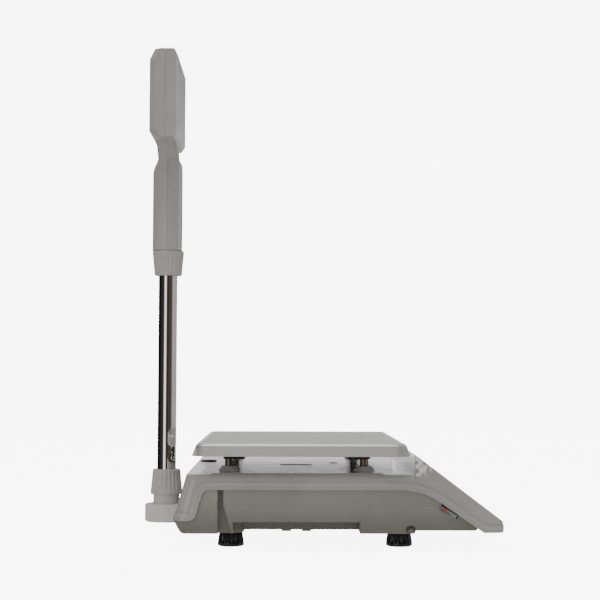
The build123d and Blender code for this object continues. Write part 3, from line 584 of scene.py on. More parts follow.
@dataclass(frozen=True)
class CastMetal(Finish):
    """Die-cast or machined metal with a mottled skin."""

    colour: Colour
    roughness: float = 0.45
    pit: float = 0.0012
    depth: float = 0.00006
    flow_size: float = 0.02
    flow_step: Span = (0.3, 0.7)
    flow_share: float = 0.6
    skin_share: float = 0.3
    skin_shade: float = 0.8
    skin_roughness: float = 0.2

    def shade(self, sheet: Sheet) -> Socket:
        """Builds the casting: broad flow and small pits darken it, and the pits are relief.

        Args:
            sheet: The sheet of nodes that it is built on.

        Returns:
            The shader's output.
        """
        skin = sheet.cloud(self.pit, 4)
        flow = sheet.cloud(self.flow_size, 2).step(*self.flow_step)
        deep = tuple(v * self.skin_shade for v in self.colour)
        darker = flow * self.flow_share + skin * self.skin_share
        return sheet.principled(
            Base_Color=sheet.blend(darker, self.colour, deep),
            Metallic=1.0,
            Roughness=self.roughness + skin * self.skin_roughness - self.skin_roughness / 2,
            Normal=sheet.relief(skin, self.depth),
        )


@dataclass(frozen=True)
class CircuitBoard(Finish):
    """Green laminate with copper runs and pale component pads."""

    laminate: Colour
    copper: Colour
    pad: Colour
    run_scale: float = 160.0
    run_width: float = 0.03
    run_share: float = 0.6
    pad_size: float = 0.004
    pad_step: Span = (0.16, 0.1)
    roughness: float = 0.35
    pad_roughness: float = 0.2
    depth: float = 0.0001

    def shade(self, sheet: Sheet) -> Socket:
        """Builds the board: copper runs in a brick bond, and round pads scattered on them.

        Args:
            sheet: The sheet of nodes that it is built on.

        Returns:
            The shader's output.
        """
        runs = sheet.node(
            "ShaderNodeTexBrick",
            {"offset": 0.5},
            {
                "Vector": sheet.place,
                "Scale": self.run_scale,
                "Mortar Size": self.run_width,
                "Bias": 0.0,
            },
        )
        lines = Amount(sheet, runs.outputs["Fac"])
        pads = sheet.cells(self.pad_size).step(*self.pad_step)
        body = sheet.blend(lines * self.run_share, self.laminate, self.copper)
        body = sheet.blend(pads, body, self.pad)
        return sheet.principled(
            Base_Color=body,
            Roughness=self.roughness + pads * self.pad_roughness,
            Normal=sheet.relief(lines + pads, self.depth),
        )


@dataclass(frozen=True)
class PrintedMark(Finish):
    """Ink of a printed number or a display segment, slightly uneven."""

    colour: Colour
    glow: float = 0.0
    blot_size: float = 0.0008
    fade: float = 1.3
    lift: float = 0.02
    roughness: float = 0.5
    blot_roughness: float = 0.1

    def shade(self, sheet: Sheet) -> Socket:
        """Builds the ink: it covers unevenly, and a lit segment glows in its own colour.

        Args:
            sheet: The sheet of nodes that it is built on.

        Returns:
            The shader's output.
        """
        cover = sheet.cloud(self.blot_size, 3)
        worn = tuple(min(1.0, v * self.fade + self.lift) for v in self.colour)
        body = sheet.blend(cover, self.colour, worn)
        return sheet.principled(
            Base_Color=body,
            Roughness=self.roughness + cover * self.blot_roughness,
            Emission_Color=body,
            Emission_Strength=self.glow,
        )


COVER_SHELL = MouldedShell(
    "cover_shell", tint(166, 165, 160), tint(120, 116, 105),
    roughness=0.2, polish=0.12, polish_from=0.0783, polish_to=0.0812,
)
# Painted shade: the base darkens strongly towards the bottom, over a few random dirt marks.
BASE_SHELL = MouldedShell(
    "base_shell", tint(148, 147, 138), tint(92, 88, 76),
    low_shade_top=0.018, low_shade_reach=0.05, low_shade_share=0.72,
)
HEAD_SHELL = MouldedShell("head_shell", tint(176, 173, 168), tint(130, 124, 112))
# Painted light: the operator's side of the head gets a lighter colour, as the side that faces the
# lamp.
HEAD_LIT_SIDE = MouldedShell(
    "head_lit_side", tint(176, 173, 168), tint(130, 124, 112),
    painted_light_from=-0.1573, painted_light=tint(193, 193, 195),
)
BRACKET_SHELL = MouldedShell("bracket_shell", tint(206, 204, 200), tint(130, 124, 112))
COLLAR_SHELL = MouldedShell("collar_shell", tint(184, 182, 178), tint(130, 124, 112))
DOME_SHELL = MouldedShell("dome_shell", tint(214, 213, 210), tint(120, 116, 105), roughness=0.3)
PANEL_SHELL = MouldedShell("panel_shell", tint(120, 122, 126), tint(70, 70, 70), roughness=0.5)
KEY_SHELL = MouldedShell("key_shell", tint(222, 221, 216), tint(150, 146, 138), roughness=0.5)
# Painted highlight on the tray's bend and rim, and painted darker shade on its flat top.
TRAY_STEEL = BrushedSheet(
    "tray_steel", tint(206, 205, 200), Along.Y, contrast=0.05,
    edge=(0.1086, 0.1099), rim_from=0.1103, painted_top_shade=tint(198, 197, 193), dull_before=-0.1262,
)
POST_STEEL = BrushedSheet("post_steel", tint(128, 118, 104), Along.Z, roughness=0.3)
CHASSIS_ZINC = PlatedMetal("chassis_zinc", tint(176, 178, 180), 0.3, 0.2)
BOLT_ZINC = PlatedMetal("bolt_zinc", tint(186, 186, 184), 0.22, 0.15, 0.003)
TUBE_CHROME = PlatedMetal("tube_chrome", tint(214, 212, 208), 0.045, 0.03)
CELL_METAL = CastMetal("cell_metal", tint(196, 198, 202), 0.32)
SPIDER_METAL = CastMetal("spider_metal", tint(160, 162, 166), 0.5)
KNOB_BLACK = BlackMoulding(
    "knob_black", tint(6, 6, 7), tint(50, 50, 52), 0.24, 0.04, 0.15, grain=0.000002
)
# Black used only for painted shade: the strip above the rocker and the rings in the notches.
SHADE_BLACK = BlackMoulding("switch_black", tint(16, 16, 17), tint(80, 80, 82), 0.22, 0.12, 0.3)
RUBBER_BLACK = BlackMoulding("rubber_black", tint(34, 33, 31), tint(110, 108, 104), 0.6, 0.3)
INLET_BLACK = BlackMoulding("inlet_black", tint(22, 22, 23), tint(90, 90, 90), 0.45, 0.2)
BATTERY_BLACK = BlackMoulding("battery_black", tint(40, 42, 46), tint(100, 100, 100), 0.5, 0.3)
HOLDER_BLACK = BlackMoulding("holder_black", tint(30, 30, 31), tint(90, 90, 90), 0.4, 0.2)
DISPLAY_DARK = BlackMoulding("display_dark", tint(38, 44, 36), tint(70, 76, 66), 0.18, 0.1, 0.5)
WINDOW_CLEAR = ClearMoulding(
    "window_clear", tint(236, 238, 234), 0.04, 0.0006, 0.009, clearness=0.92,
    milky_from=0.158, milky=tint(222, 222, 217), blotch=tint(150, 151, 140),
)
HEAD_CLEAR = ClearMoulding(
    "head_clear", tint(196, 198, 196), 0.02, ripple=0.000004, clearness=0.95
)
VIAL_CLEAR = ClearMoulding("vial_clear", tint(206, 226, 120), ripple=0.00002)
BOARD_GREEN = CircuitBoard(
    "board_green", tint(26, 92, 52), tint(60, 128, 76), tint(190, 186, 170)
)
SEGMENT_INK = PrintedMark("segment_ink", tint(176, 214, 120), 1.2)
LEGEND_INK = PrintedMark("legend_ink", tint(40, 42, 46))
ROCKER_GREY = MouldedShell("rocker_grey", tint(150, 149, 143), tint(96, 92, 80), roughness=0.3)
RED_MARK = PrintedMark("red_mark", tint(196, 44, 30), 0.1)


def link(piece: bpy.types.Object) -> None:
    """Puts an object in the scene."""
    bpy.context.scene.collection.objects.link(piece)


class Wardrobe:
    """Makes each finish once and puts it on nodes and pieces."""

    def __init__(self) -> None:
        """Starts with nothing made."""
        self.made: dict[str, bpy.types.Material] = {}

    def material(self, finish: Finish) -> bpy.types.Material:
        """Makes the material of a finish when it is first asked for.

        Args:
            finish: The finish.

        Returns:
            Its material, the same one each time.
        """
        if finish.name not in self.made:
            self.made[finish.name] = finish.make()
        return self.made[finish.name]

    def dress(self, finish: Finish, nodes: Iterable[str]) -> None:
        """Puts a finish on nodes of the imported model.

        Args:
            finish: The finish.
            nodes: The nodes' names.
        """
        for name in nodes:
            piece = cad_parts[name]
            if not piece.data.materials:
                piece.data.materials.append(None)
            for index in range(len(piece.data.materials)):
                piece.data.materials[index] = self.material(finish)
            log.info("dressed %s in %s", name, finish.name)

    def clothe(self, piece: bpy.types.Object, finish: Finish) -> None:
        """Gives a new piece its only finish."""
        piece.data.materials.clear()
        piece.data.materials.append(self.material(finish))


WARDROBE = Wardrobe()


# Mesh making


@dataclass(frozen=True)
class Wear:
    """A new piece's finish, the body that it rides on and the name of its slot."""

    finish: Finish
    body: str
    slot: str


def hang(mesh: bpy.types.Mesh, wear: Wear) -> bpy.types.Object:
    """Makes a piece of a mesh, dresses it and lets it ride on its body.

    Args:
        mesh: The mesh, whose name the piece gets.
        wear: What the piece wears.

    Returns:
        The piece.
    """
    piece = bpy.data.objects.new(mesh.name, mesh)
    link(piece)
    WARDROBE.clothe(piece, wear.finish)
    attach(piece, wear.body)
    log.info("made %s: %d faces on %s", mesh.name, len(mesh.polygons), wear.body)
    return piece


def mesh_piece(
    name: str,
    points: np.ndarray,
    faces: Sequence[Sequence[int]],
    wear: Wear,
    smooth: bool = True,
) -> bpy.types.Object:
    """Makes a piece from points and faces.

    Args:
        name: The piece's name.
        points: Its points, one row each, in metres.
        faces: The numbers of each face's points.
        wear: What it wears.
        smooth: Whether its faces are shaded smooth.

    Returns:
        The piece.
    """
    mesh = bpy.data.meshes.new(name)
    mesh.from_pydata(points.tolist(), [], [list(f) for f in faces])
    mesh.validate()
    mesh.polygons.foreach_set("use_smooth", np.full(len(mesh.polygons), smooth))
    mesh.update()
    return hang(mesh, wear)


@dataclass(frozen=True)
class Plane:
    """A flat place to print on: where it is, and which way is right and up on it."""

    origin: Place
    right: Place
    up: Place

    @property
    def out(self) -> np.ndarray:
        """The direction out of the plane."""
        return np.cross(self.right, self.up)

    def place(self, flat: np.ndarray) -> np.ndarray:
        """Carries points onto the plane.

        The point is origin + x times right + y times up + z times out.

        Args:
            flat: Rows of x, y and z on the plane, in metres.

        Returns:
            Rows of places on the model.
        """
        axes = np.array([self.right, self.up, self.out])
        return np.asarray(self.origin) + flat @ axes

    def matrix(self, right: float, up: float) -> Matrix:
        """Works out the matrix that sets a flat thing on the plane.

        Args:
            right: How far to the right its middle goes, in metres.
            up: How far up it goes, in metres.

        Returns:
            The matrix.
        """
        origin = self.place(np.array([[right, up, 0.0]]))[0]
        turned = Matrix((self.right, self.up, tuple(self.out))).transposed().to_4x4()
        return Matrix.Translation(origin) @ turned


def turned_surface(
    outline: np.ndarray, count: int, groove: np.ndarray, teeth: int, looped: bool
) -> Surface:
    """Turns an outline round the upright axis and presses grooves into it.

    At turn a and outline point k the radius is r[k] - groove[k] * g(a), where
    g(a) is the square of the cosine of half of teeth times a: 1 in the middle
    of a groove and 0 on the crest between two.

    Args:
        outline: Rows of radius and height. It goes up the outside.
        count: Number of steps round.
        groove: Depth of the grooves at each outline point.
        teeth: Number of grooves.
        looped: True for a ring, whose outline ends where it begins. Otherwise
            both ends of the outline lie on the axis.

    Returns:
        The points and the faces.
    """
    rows = outline if looped else outline[1:-1]
    depth = groove if looped else groove[1:-1]
    angle = np.linspace(0, 2 * pi, count, endpoint=False)
    dip = np.cos(teeth * angle / 2) ** 2
    radius = rows[:, :1] - depth[:, None] * dip[None, :]
    height = np.broadcast_to(rows[:, 1:], radius.shape)
    points = np.stack((radius * np.cos(angle), radius * np.sin(angle), height), axis=-1)
    points = points.reshape(-1, 3)
    lower = np.arange(len(rows) if looped else len(rows) - 1)
    upper = (lower + 1) % len(rows)
    here = np.arange(count)
    after = (here + 1) % count
    quads = np.stack(
        [
            lower[:, None] * count + here,
            lower[:, None] * count + after,
            upper[:, None] * count + after,
            upper[:, None] * count + here,
        ],
        axis=-1,
    ).reshape(-1, 4)
    faces = [tuple(quad) for quad in quads.tolist()]
    if not looped:
        poles = np.array([[0, 0, outline[0, 1]], [0, 0, outline[-1, 1]]])
        points = np.vstack((points, poles))
        first, last = len(points) - 2, len(points) - 1
        top = (len(rows) - 1) * count
        faces += [(first, int(b), int(a)) for a, b in zip(here, after)]
        faces += [(last, int(top + a), int(top + b)) for a, b in zip(here, after)]
    return points, faces


def thin_plates(outlines: np.ndarray, thickness: float) -> Surface:
    """Makes a thin closed plate of each flat outline.

    Args:
        outlines: One outline a row, with its corners anticlockwise, as x and y.
        thickness: Thickness of the plates, from 0 upwards.

    Returns:
        The points and the faces.
    """
    number, corners, _ = outlines.shape
    low = np.concatenate((outlines, np.zeros((number, corners, 1))), axis=2)
    high = low + np.array([0, 0, thickness])
    points = np.concatenate((low, high), axis=1).reshape(-1, 3)
    base = np.arange(number)[:, None] * 2 * corners
    ring = np.arange(corners)
    step = (ring + 1) % corners
    tops = (base + corners + ring).tolist()
    floors = (base + ring[::-1]).tolist()
    sides = np.stack(
        [base + ring, base + step, base + corners + step, base + corners + ring], axis=-1
    ).reshape(-1, 4)
    return points, tops + floors + sides.tolist()


@dataclass(frozen=True)
class SegmentDigits:
    """Numerals of seven bars, as a segment display shows them."""

    height: float
    width_share: float = 0.56
    bar_share: float = 0.13
    gap_share: float = 0.018
    pitch_share: float = 0.86
    lean: float = 0.1
    dot_share: float = 0.6
    dot_middle: float = 0.06

    def bars(self) -> dict[str, np.ndarray]:
        """Draws the seven bars of a figure in a cell of height 1.

        A bar runs between two corners of the figure, is as wide as the bar
        share, and its ends are pointed at 45 degrees, short of the corner by
        the gap share.

        Returns:
            The six-cornered outline of each bar, under its letter.
        """
        wide, half = self.width_share, self.bar_share / 2
        left, right = half, wide - half
        low, middle, high = half, 0.5, 1 - half
        ends = {
            "a": ((left, high), (right, high)),
            "b": ((right, middle), (right, high)),
            "c": ((right, low), (right, middle)),
            "d": ((left, low), (right, low)),
            "e": ((left, low), (left, middle)),
            "f": ((left, middle), (left, high)),
            "g": ((left, middle), (right, middle)),
        }
        made = {}
        for name, (start, stop) in ends.items():
            start, stop = np.array(start), np.array(stop)
            run = (stop - start) / np.linalg.norm(stop - start)
            side = np.array([-run[1], run[0]])
            start, stop = start + run * self.gap_share, stop - run * self.gap_share
            made[name] = np.array(
                [
                    start,
                    start + (run - side) * half,
                    stop - (run + side) * half,
                    stop,
                    stop - (run - side) * half,
                    start + (run + side) * half,
                ]
            )
        return made

    def outlines(self, number: str) -> np.ndarray:
        """Returns the outlines of a number's lit bars and points, begun at x = 0.

        Args:
            number: Digits and full stops.

        Returns:
            One six-cornered outline a row, in metres.
        """
        lit = {
            "0": "abcdef", "1": "bc", "2": "abged", "3": "abgcd", "4": "fgbc",
            "5": "afgcd", "6": "afgedc", "7": "abc", "8": "abcdefg", "9": "abcdfg",
        }
        bars = self.bars()
        turn = np.linspace(0, 2 * pi, 6, endpoint=False)
        dot = np.stack((np.cos(turn), np.sin(turn)), axis=1) * self.bar_share * self.dot_share
        shapes, cursor = [], 0.0
        for sign in number:
            if sign == ".":
                middle = cursor - (self.pitch_share - self.width_share) / 2
                shapes.append(dot + [middle, self.dot_middle])
                continue
            shapes += [bars[bar] + [cursor, 0] for bar in lit[sign]]
            cursor += self.pitch_share
        flat = np.array(shapes)
        flat[..., 0] += self.lean * flat[..., 1]
        return flat * self.height

    def reach(self, number: str) -> float:
        """Returns the width of a number, in metres."""
        return (sum(sign != "." for sign in number) * self.pitch_share) * self.height


def printed_numbers(
    name: str,
    numbers: Sequence[tuple[str, float, float]],
    digits: SegmentDigits,
    plane: Plane,
    wear: Wear,
    thickness: float = 0.0001,
) -> bpy.types.Object:
    """Lays rows of segment numerals on a plane as one piece.

    Args:
        name: The piece's name.
        numbers: Each number with the place of its right end and of its middle height.
        digits: Shape of the numerals.
        plane: The plane that they lie on.
        wear: What they wear.
        thickness: How proud they stand.

    Returns:
        The piece.
    """
    rows = []
    for number, end, middle in numbers:
        corner = np.array([end - digits.reach(number), middle - digits.height / 2])
        rows.append(digits.outlines(number) + corner)
    points, faces = thin_plates(np.concatenate(rows), thickness)
    return mesh_piece(name, plane.place(points), faces, wear, smooth=False)


def printed_text(
    name: str,
    words: str,
    size: float,
    plane: Plane,
    spot: Span,
    wear: Wear,
    thickness: float = 0.00006,
) -> bpy.types.Object:
    """Prints a plain number or sign on a plane, as a mesh in its place.

    Args:
        name: The piece's name.
        words: What is printed.
        size: Size of the type, in metres.
        plane: The plane that it lies on.
        spot: Its middle on the plane.
        wear: What it wears.
        thickness: How proud it stands.

    Returns:
        The piece.
    """
    curve = bpy.data.curves.new(f"{name}_type", "FONT")
    curve.body = words
    curve.size = size
    curve.align_x = "CENTER"
    curve.align_y = "CENTER"
    curve.extrude = thickness
    curve.resolution_u = 4
    typed = bpy.data.objects.new(f"{name}_type", curve)
    link(typed)
    bpy.context.view_layer.update()
    mesh = bpy.data.meshes.new_from_object(typed)
    bpy.data.objects.remove(typed)
    mesh.transform(plane.matrix(*spot))
    mesh.name = name
    return hang(mesh, wear)


# Stage


@dataclass
class Stage:
    """Floor, light and camera, at the photograph's angle."""

    camera_place: Place = (-0.0406, -1.625, 0.1858)
    pitch: float = 2.94
    yaw: float = 0.85
    roll: float = 0.2
    lens: float = 84.06
    sensor: float = 36.0
    floor_half: float = 6.0
    floor_glow: float = 7.5
    backdrop_glow: float = 7.5
    backdrop_height: float = 12.0
    world_strength: float = 0.44
    top_place: Place = (-0.3, -0.5, 1.7)
    top_target: Place = (0, 0, 0.15)
    top_size: Span = (1.6, 1.2)
    top_power: float = 11.0
    left_place: Place = (-0.9, -1.8, 0.7)
    left_target: Place = (-0.1, 0, 0.25)
    left_size: Span = (0.9, 1.4)
    left_power: float = 2.0
    sheet_shades: tuple[Colour, Colour] = ((0.86, 0.86, 0.86), (0.9, 0.9, 0.9))
    sheet_cloud: float = 0.6
    wall_radius: float = 2.6
    wall_height: float = 0.95
    wall_steps: int = 96
    wall_glow: float = 4.0
    wall_shades: tuple[tuple[float, Colour], ...] = (
        (-1.0, (0.31, 0.31, 0.31)), (-0.985, (0.31, 0.31, 0.31)), (-0.965, (0.006, 0.006, 0.005)),
        (-0.80, (0.0012, 0.0012, 0.001)), (-0.67, (0.005, 0.005, 0.004)),
        (-0.57, (0.011, 0.011, 0.01)), (-0.44, (0.011, 0.011, 0.011)), (-0.38, (0.04, 0.04, 0.04)),
        (-0.29, (0.5, 0.5, 0.5)), (-0.20, (0.5, 0.5, 0.5)), (-0.12, (0.06, 0.06, 0.058)),
        (-0.05, (0.01, 0.0098, 0.0094)), (0.09, (0.011, 0.01, 0.009)), (0.16, (0.026, 0.02, 0.016)),
        (0.37, (0.022, 0.016, 0.012)), (0.46, (0.05, 0.048, 0.046)), (0.56, (0.15, 0.15, 0.15)),
        (0.86, (0.145, 0.145, 0.145)), (0.965, (0.11, 0.11, 0.11)), (0.985, (0.31, 0.31, 0.31)),
        (1.0, (0.31, 0.31, 0.31)),
    )
    bounce_half: float = 0.55
    bounce_level: float = -0.001
    bounce_glow: float = 0.4
    wall_foot: float = -0.45

    def camera(self) -> None:
        """Places the camera: pitched up, turned a little to the right and rolled."""
        data = bpy.data.cameras.new("photo_camera")
        data.lens = self.lens
        data.sensor_width = self.sensor
        camera = bpy.data.objects.new("photo_camera", data)
        turned = (
            Matrix.Rotation(radians(-self.yaw), 4, "Z")
            @ Matrix.Rotation(radians(90 + self.pitch), 4, "X")
            @ Matrix.Rotation(radians(self.roll), 4, "Z")
        )
        camera.matrix_world = Matrix.Translation(self.camera_place) @ turned
        link(camera)
        bpy.context.scene.camera = camera

    def ring(self, radius: float, low: float, high: float) -> Surface:
        """Draws an upright round wall that faces inwards.

        At turn a its points are (radius cos a, radius sin a) at both heights.

        Args:
            radius: Radius of the wall.
            low: Height of its foot.
            high: Height of its top.

        Returns:
            The points and the faces.
        """
        angle = np.linspace(0, 2 * pi, self.wall_steps, endpoint=False)
        round_trip = np.stack((np.cos(angle), np.sin(angle)), axis=1) * radius
        points = np.vstack(
            [
                np.column_stack((round_trip, np.full(self.wall_steps, height)))
                for height in (low, high)
            ]
        )
        here = np.arange(self.wall_steps)
        after = (here + 1) % self.wall_steps
        faces = np.stack(
            (here, here + self.wall_steps, after + self.wall_steps, after), axis=1
        ).tolist()
        return points, faces

    def stand(
        self,
        name: str,
        points: np.ndarray,
        faces: Sequence[Sequence[int]],
        material: bpy.types.Material,
    ) -> bpy.types.Object:
        """Stands a mesh on the stage.

        Args:
            name: The thing's name.
            points: Its points.
            faces: Its faces.
            material: Its only material.

        Returns:
            The thing.
        """
        mesh = bpy.data.meshes.new(name)
        mesh.from_pydata(points.tolist(), [], faces)
        mesh.materials.append(material)
        made = bpy.data.objects.new(name, mesh)
        link(made)
        log.info("stood %s", name)
        return made

    def sheet_of(
        self, name: str, points: np.ndarray, faces: Sequence[Sequence[int]], glow: float
    ) -> bpy.types.Object:
        """Lays a plain pale sheet that glows a little for the camera alone.

        Args:
            name: The sheet's name.
            points: Its points.
            faces: Its faces.
            glow: Strength of the glow.

        Returns:
            The sheet.
        """
        sheet = Sheet(name)
        shader = sheet.principled(
            Base_Color=sheet.blend(sheet.cloud(self.sheet_cloud, 2), *self.sheet_shades),
            Roughness=0.8,
            Emission_Color=(1.0, 1.0, 1.0),
            Emission_Strength=glow,
        )
        made = self.stand(name, points, faces, sheet.end(shader))
        made.visible_diffuse = False
        made.visible_glossy = False
        return made

    def backdrop(self) -> None:
        """Lays the pale floor under the feet and stands a pale round wall about it."""
        square = np.array([[-1, -1, 0], [1, -1, 0], [1, 1, 0], [-1, 1, 0]], float)
        quad = [(0, 1, 2, 3)]
        self.sheet_of("floor", square * self.floor_half, quad, self.floor_glow)
        wall, faces = self.ring(self.floor_half, 0.0, self.backdrop_height)
        self.sheet_of("backdrop", wall, faces, self.backdrop_glow)
        low = square * self.bounce_half + np.array([0, 0, self.bounce_level])
        bounce = self.sheet_of("table_bounce", low, quad, self.bounce_glow)
        bounce.visible_camera = False
        bounce.visible_diffuse = True
        bounce.visible_glossy = True

    def area(
        self,
        name: str,
        place: Sequence[float],
        target: Sequence[float],
        size: Span,
        power: float,
        mirrored: bool = False,
    ) -> None:
        """Adds a soft rectangular light.

        Args:
            name: Its name.
            place: Where it stands.
            target: What it faces.
            size: Its width and height.
            power: Its power in watts.
            mirrored: Whether it shows in reflections.
        """
        data = bpy.data.lights.new(name, "AREA")
        data.shape = "RECTANGLE"
        data.size, data.size_y = size
        data.energy = power
        lamp = bpy.data.objects.new(name, data)
        lamp.location = place
        aim = Vector(target) - Vector(place)
        lamp.rotation_euler = aim.to_track_quat("-Z", "Y").to_euler()
        link(lamp)
        lamp.visible_glossy = mirrored

    def world(self) -> None:
        """Sets an even pale surround."""
        world = bpy.data.worlds.new("pale_surround")
        world.use_nodes = True
        shade = world.node_tree.nodes["Background"]
        shade.inputs["Color"].default_value = (1.0, 1.0, 1.0, 1.0)
        shade.inputs["Strength"].default_value = self.world_strength
        bpy.context.scene.world = world

    def room(self) -> None:
        """Stands a round wall about the object, seen only in its reflections.

        An upright tube shows the wall in stripes: a point u radii to the right
        of its middle mirrors the wall at twice the arcsine of u from the
        viewer, and each shade below begins at such a u.
        """
        sheet = Sheet("room_wall")
        across, along = sheet.along(Along.X), sheet.along(Along.Y)
        turn = sheet.node("ShaderNodeMath", {"operation": "ARCTAN2"}, {0: across, 1: along * -1.0})
        share = Amount(sheet, turn.outputs[0]) * (0.5 / pi) + 0.5
        ramp = sheet.node("ShaderNodeValToRGB", {}, {"Fac": share})
        stops = ramp.color_ramp.elements
        for index, (offset, shade) in enumerate(self.wall_shades):
            spot = 0.5 + 2 * asin(offset) / (2 * pi)
            stop = stops[index] if index < 2 else stops.new(spot)
            stop.position = spot
            stop.color = (*shade, 1.0)
        shader = sheet.principled(
            Base_Color=(0.0, 0.0, 0.0),
            Roughness=1.0,
            Emission_Color=ramp.outputs["Color"],
            Emission_Strength=self.wall_glow,
        )
        points, faces = self.ring(self.wall_radius, self.wall_foot, self.wall_height)
        wall = self.stand("room_wall", points, faces, sheet.end(shader))
        for ray in ("camera", "diffuse", "transmission", "shadow"):
            setattr(wall, f"visible_{ray}", False)

    def build(self) -> None:
        """Sets the whole stage."""
        self.camera()
        self.backdrop()
        self.world()
        self.room()
        self.area(
            "top_light", self.top_place, self.top_target, self.top_size, self.top_power, True
        )
        self.area("left_light", self.left_place, self.left_target, self.left_size, self.left_power)


# Sub-assemblies


Finishes = tuple[tuple[Finish, tuple[str, ...]], ...]


@dataclass
class Assembly:
    """A sub-assembly: which nodes wear which finish, and what is added to them."""

    finishes: Finishes = ()

    def add(self) -> None:
        """Adds the fine pieces. A plain sub-assembly has none."""

    def build(self) -> None:
        """Dresses the nodes and adds the fine pieces."""
        for finish, nodes in self.finishes:
            WARDROBE.dress(finish, nodes)
        self.add()


@dataclass
class Housing(Assembly):
    """Top cover, base housing and what is screwed to them."""

    finishes: Finishes = (
        (COVER_SHELL, ("top_cover",)),
        (BASE_SHELL, ("base_housing", "battery_door")),
        (DOME_SHELL, ("deck_domes",)),
        (CHASSIS_ZINC, ("chassis_plate",)),
        (BOLT_ZINC, ("housing_screws", "overload_stops", "cell_bolts")),
        (BATTERY_BLACK, ("battery",)),
        (INLET_BLACK, ("power_inlet",)),
        (BOARD_GREEN, ("main_board", "key_board")),
        (HOLDER_BLACK, ("level_holder",)),
        (VIAL_CLEAR, ("level_vial",)),
    )
    notch_x: float = 0.0974
    notch_y: float = 0.1616
    notch_z: float = 0.0208
    notch_radii: Span = (0.0030, 0.0043)
    notch_thickness: float = 0.0006
    notch_steps: int = 25
    slot_places: tuple[Place, ...] = (
        (-0.021, -0.0199, 0.0365), (0.0229, 0.0112, 0.0082),
    )
    slot_depth: float = 0.006
    slot_rise: float = 0.0003
    deck_z: float = 0.0804

    def notch_shadow_rings(self) -> None:
        """Puts a dark half ring, painted shade, in the half-round notch low in each side wall."""
        turn = np.linspace(0, pi, self.notch_steps)
        inner, outer = self.notch_radii
        arc = np.column_stack((np.cos(turn), np.sin(turn)))
        ring = np.concatenate((arc * outer, arc[::-1] * inner))
        for name, side in (("near", -1), ("far", 1)):
            face = Plane((self.notch_x, side * self.notch_y, self.notch_z), (-side, 0, 0), (0, 0, 1))
            points, faces = thin_plates(ring[None], self.notch_thickness)
            wear = Wear(SHADE_BLACK, "base", "switch_black")
            mesh_piece(f"notch_shadow_ring_{name}", face.place(points), faces, wear, smooth=False)

    def deck_slot_shades(self) -> None:
        """Lays thin dark plates, painted shade of the slots in the deck under the tray."""
        for number, (x, y, length) in enumerate(self.slot_places, start=1):
            half, deep = length / 2, self.slot_depth / 2
            outline = np.array([[[-half, -deep], [half, -deep], [half, deep], [-half, deep]]])
            points, faces = thin_plates(outline, self.slot_rise)
            deck = Plane((x, y, self.deck_z), (1, 0, 0), (0, 1, 0))
            wear = Wear(HOLDER_BLACK, "base", "vial_holder")
            mesh_piece(f"deck_slot_shade_{number}", deck.place(points), faces, wear, smooth=False)

    def add(self) -> None:
        """Adds the painted shade in the notches and on the slots of the deck."""
        self.notch_shadow_rings()
        self.deck_slot_shades()


@dataclass
class Platform(Assembly):
    """Load cell, spider, posts and the tray on them."""

    finishes: Finishes = (
        (CELL_METAL, ("load_cell", "cell_spacer_lower", "cell_spacer_upper")),
        (SPIDER_METAL, ("spider",)),
        (BOLT_ZINC, ("spider_bolts",)),
        (POST_STEEL, ("tray_posts",)),
        (RUBBER_BLACK, ("tray_rests",)),
        (TRAY_STEEL, ("tray",)),
    )


@dataclass
class Collar:
    """A fluted clamp collar, drawn from its wide end, in metres."""

    wide: float = 0.0182
    narrow: float = 0.0159
    height: float = 0.0285
    grip_bore: float = 0.0134
    tube_bore: float = 0.0111
    top_wall: float = 0.004
    rim_round: float = 0.0008
    flank_low: float = 0.003
    flank_end: float = 0.001
    end_round: float = 0.0004
    flutes: int = 22
    flute_depth: float = 0.0009
    flank_rows: int = 12
    steps: int = 440

    def surface(self) -> Surface:
        """Draws the collar standing on its wide end at the origin.

        The flank's radius falls in a straight line from the wide end to the
        narrow one. The flutes start shallow above the wide rim, at full depth
        after a sixth of the flank, and run out in its last eighth.

        Returns:
            The points and the faces.
        """
        share = np.linspace(0, 1, self.flank_rows)
        low, high = self.flank_low, self.height - self.flank_end
        flank = np.column_stack(
            (self.wide - (self.wide - self.narrow) * share, low + (high - low) * share)
        )
        rim = [
            (self.grip_bore, 0.0), (self.wide - self.rim_round, 0.0), (self.wide, self.rim_round)
        ]
        end = [
            (self.narrow - self.end_round, self.height - self.end_round * 0.75),
            (self.narrow - self.end_round * 2.5, self.height),
            (self.tube_bore, self.height),
            (self.tube_bore, self.height - self.top_wall),
            (self.grip_bore, self.height - self.top_wall),
        ]
        outline = np.vstack((rim, flank, end))
        press = np.clip(np.minimum(share * 6, (1 - share) * 8), 0, 1) * self.flute_depth
        depth = np.concatenate((np.zeros(len(rim)), press, np.zeros(len(end))))
        return turned_surface(outline, self.steps, depth, self.flutes, True)

    def stand(self, name: str, place: Sequence[float], turned_over: bool, body: str) -> None:
        """Stands a collar on the pole in place of a node.

        Args:
            name: The node's name.
            place: Middle of its wide end.
            turned_over: True where the wide end is on top.
            body: The body that it rides on.
        """
        points, faces = self.surface()
        if turned_over:
            points = points * np.array([1, -1, -1])
        wear = Wear(COLLAR_SHELL, body, "collar_plastic")
        piece = mesh_piece(f"{name}_fluted", points + np.array(place), faces, wear)
        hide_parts(name)


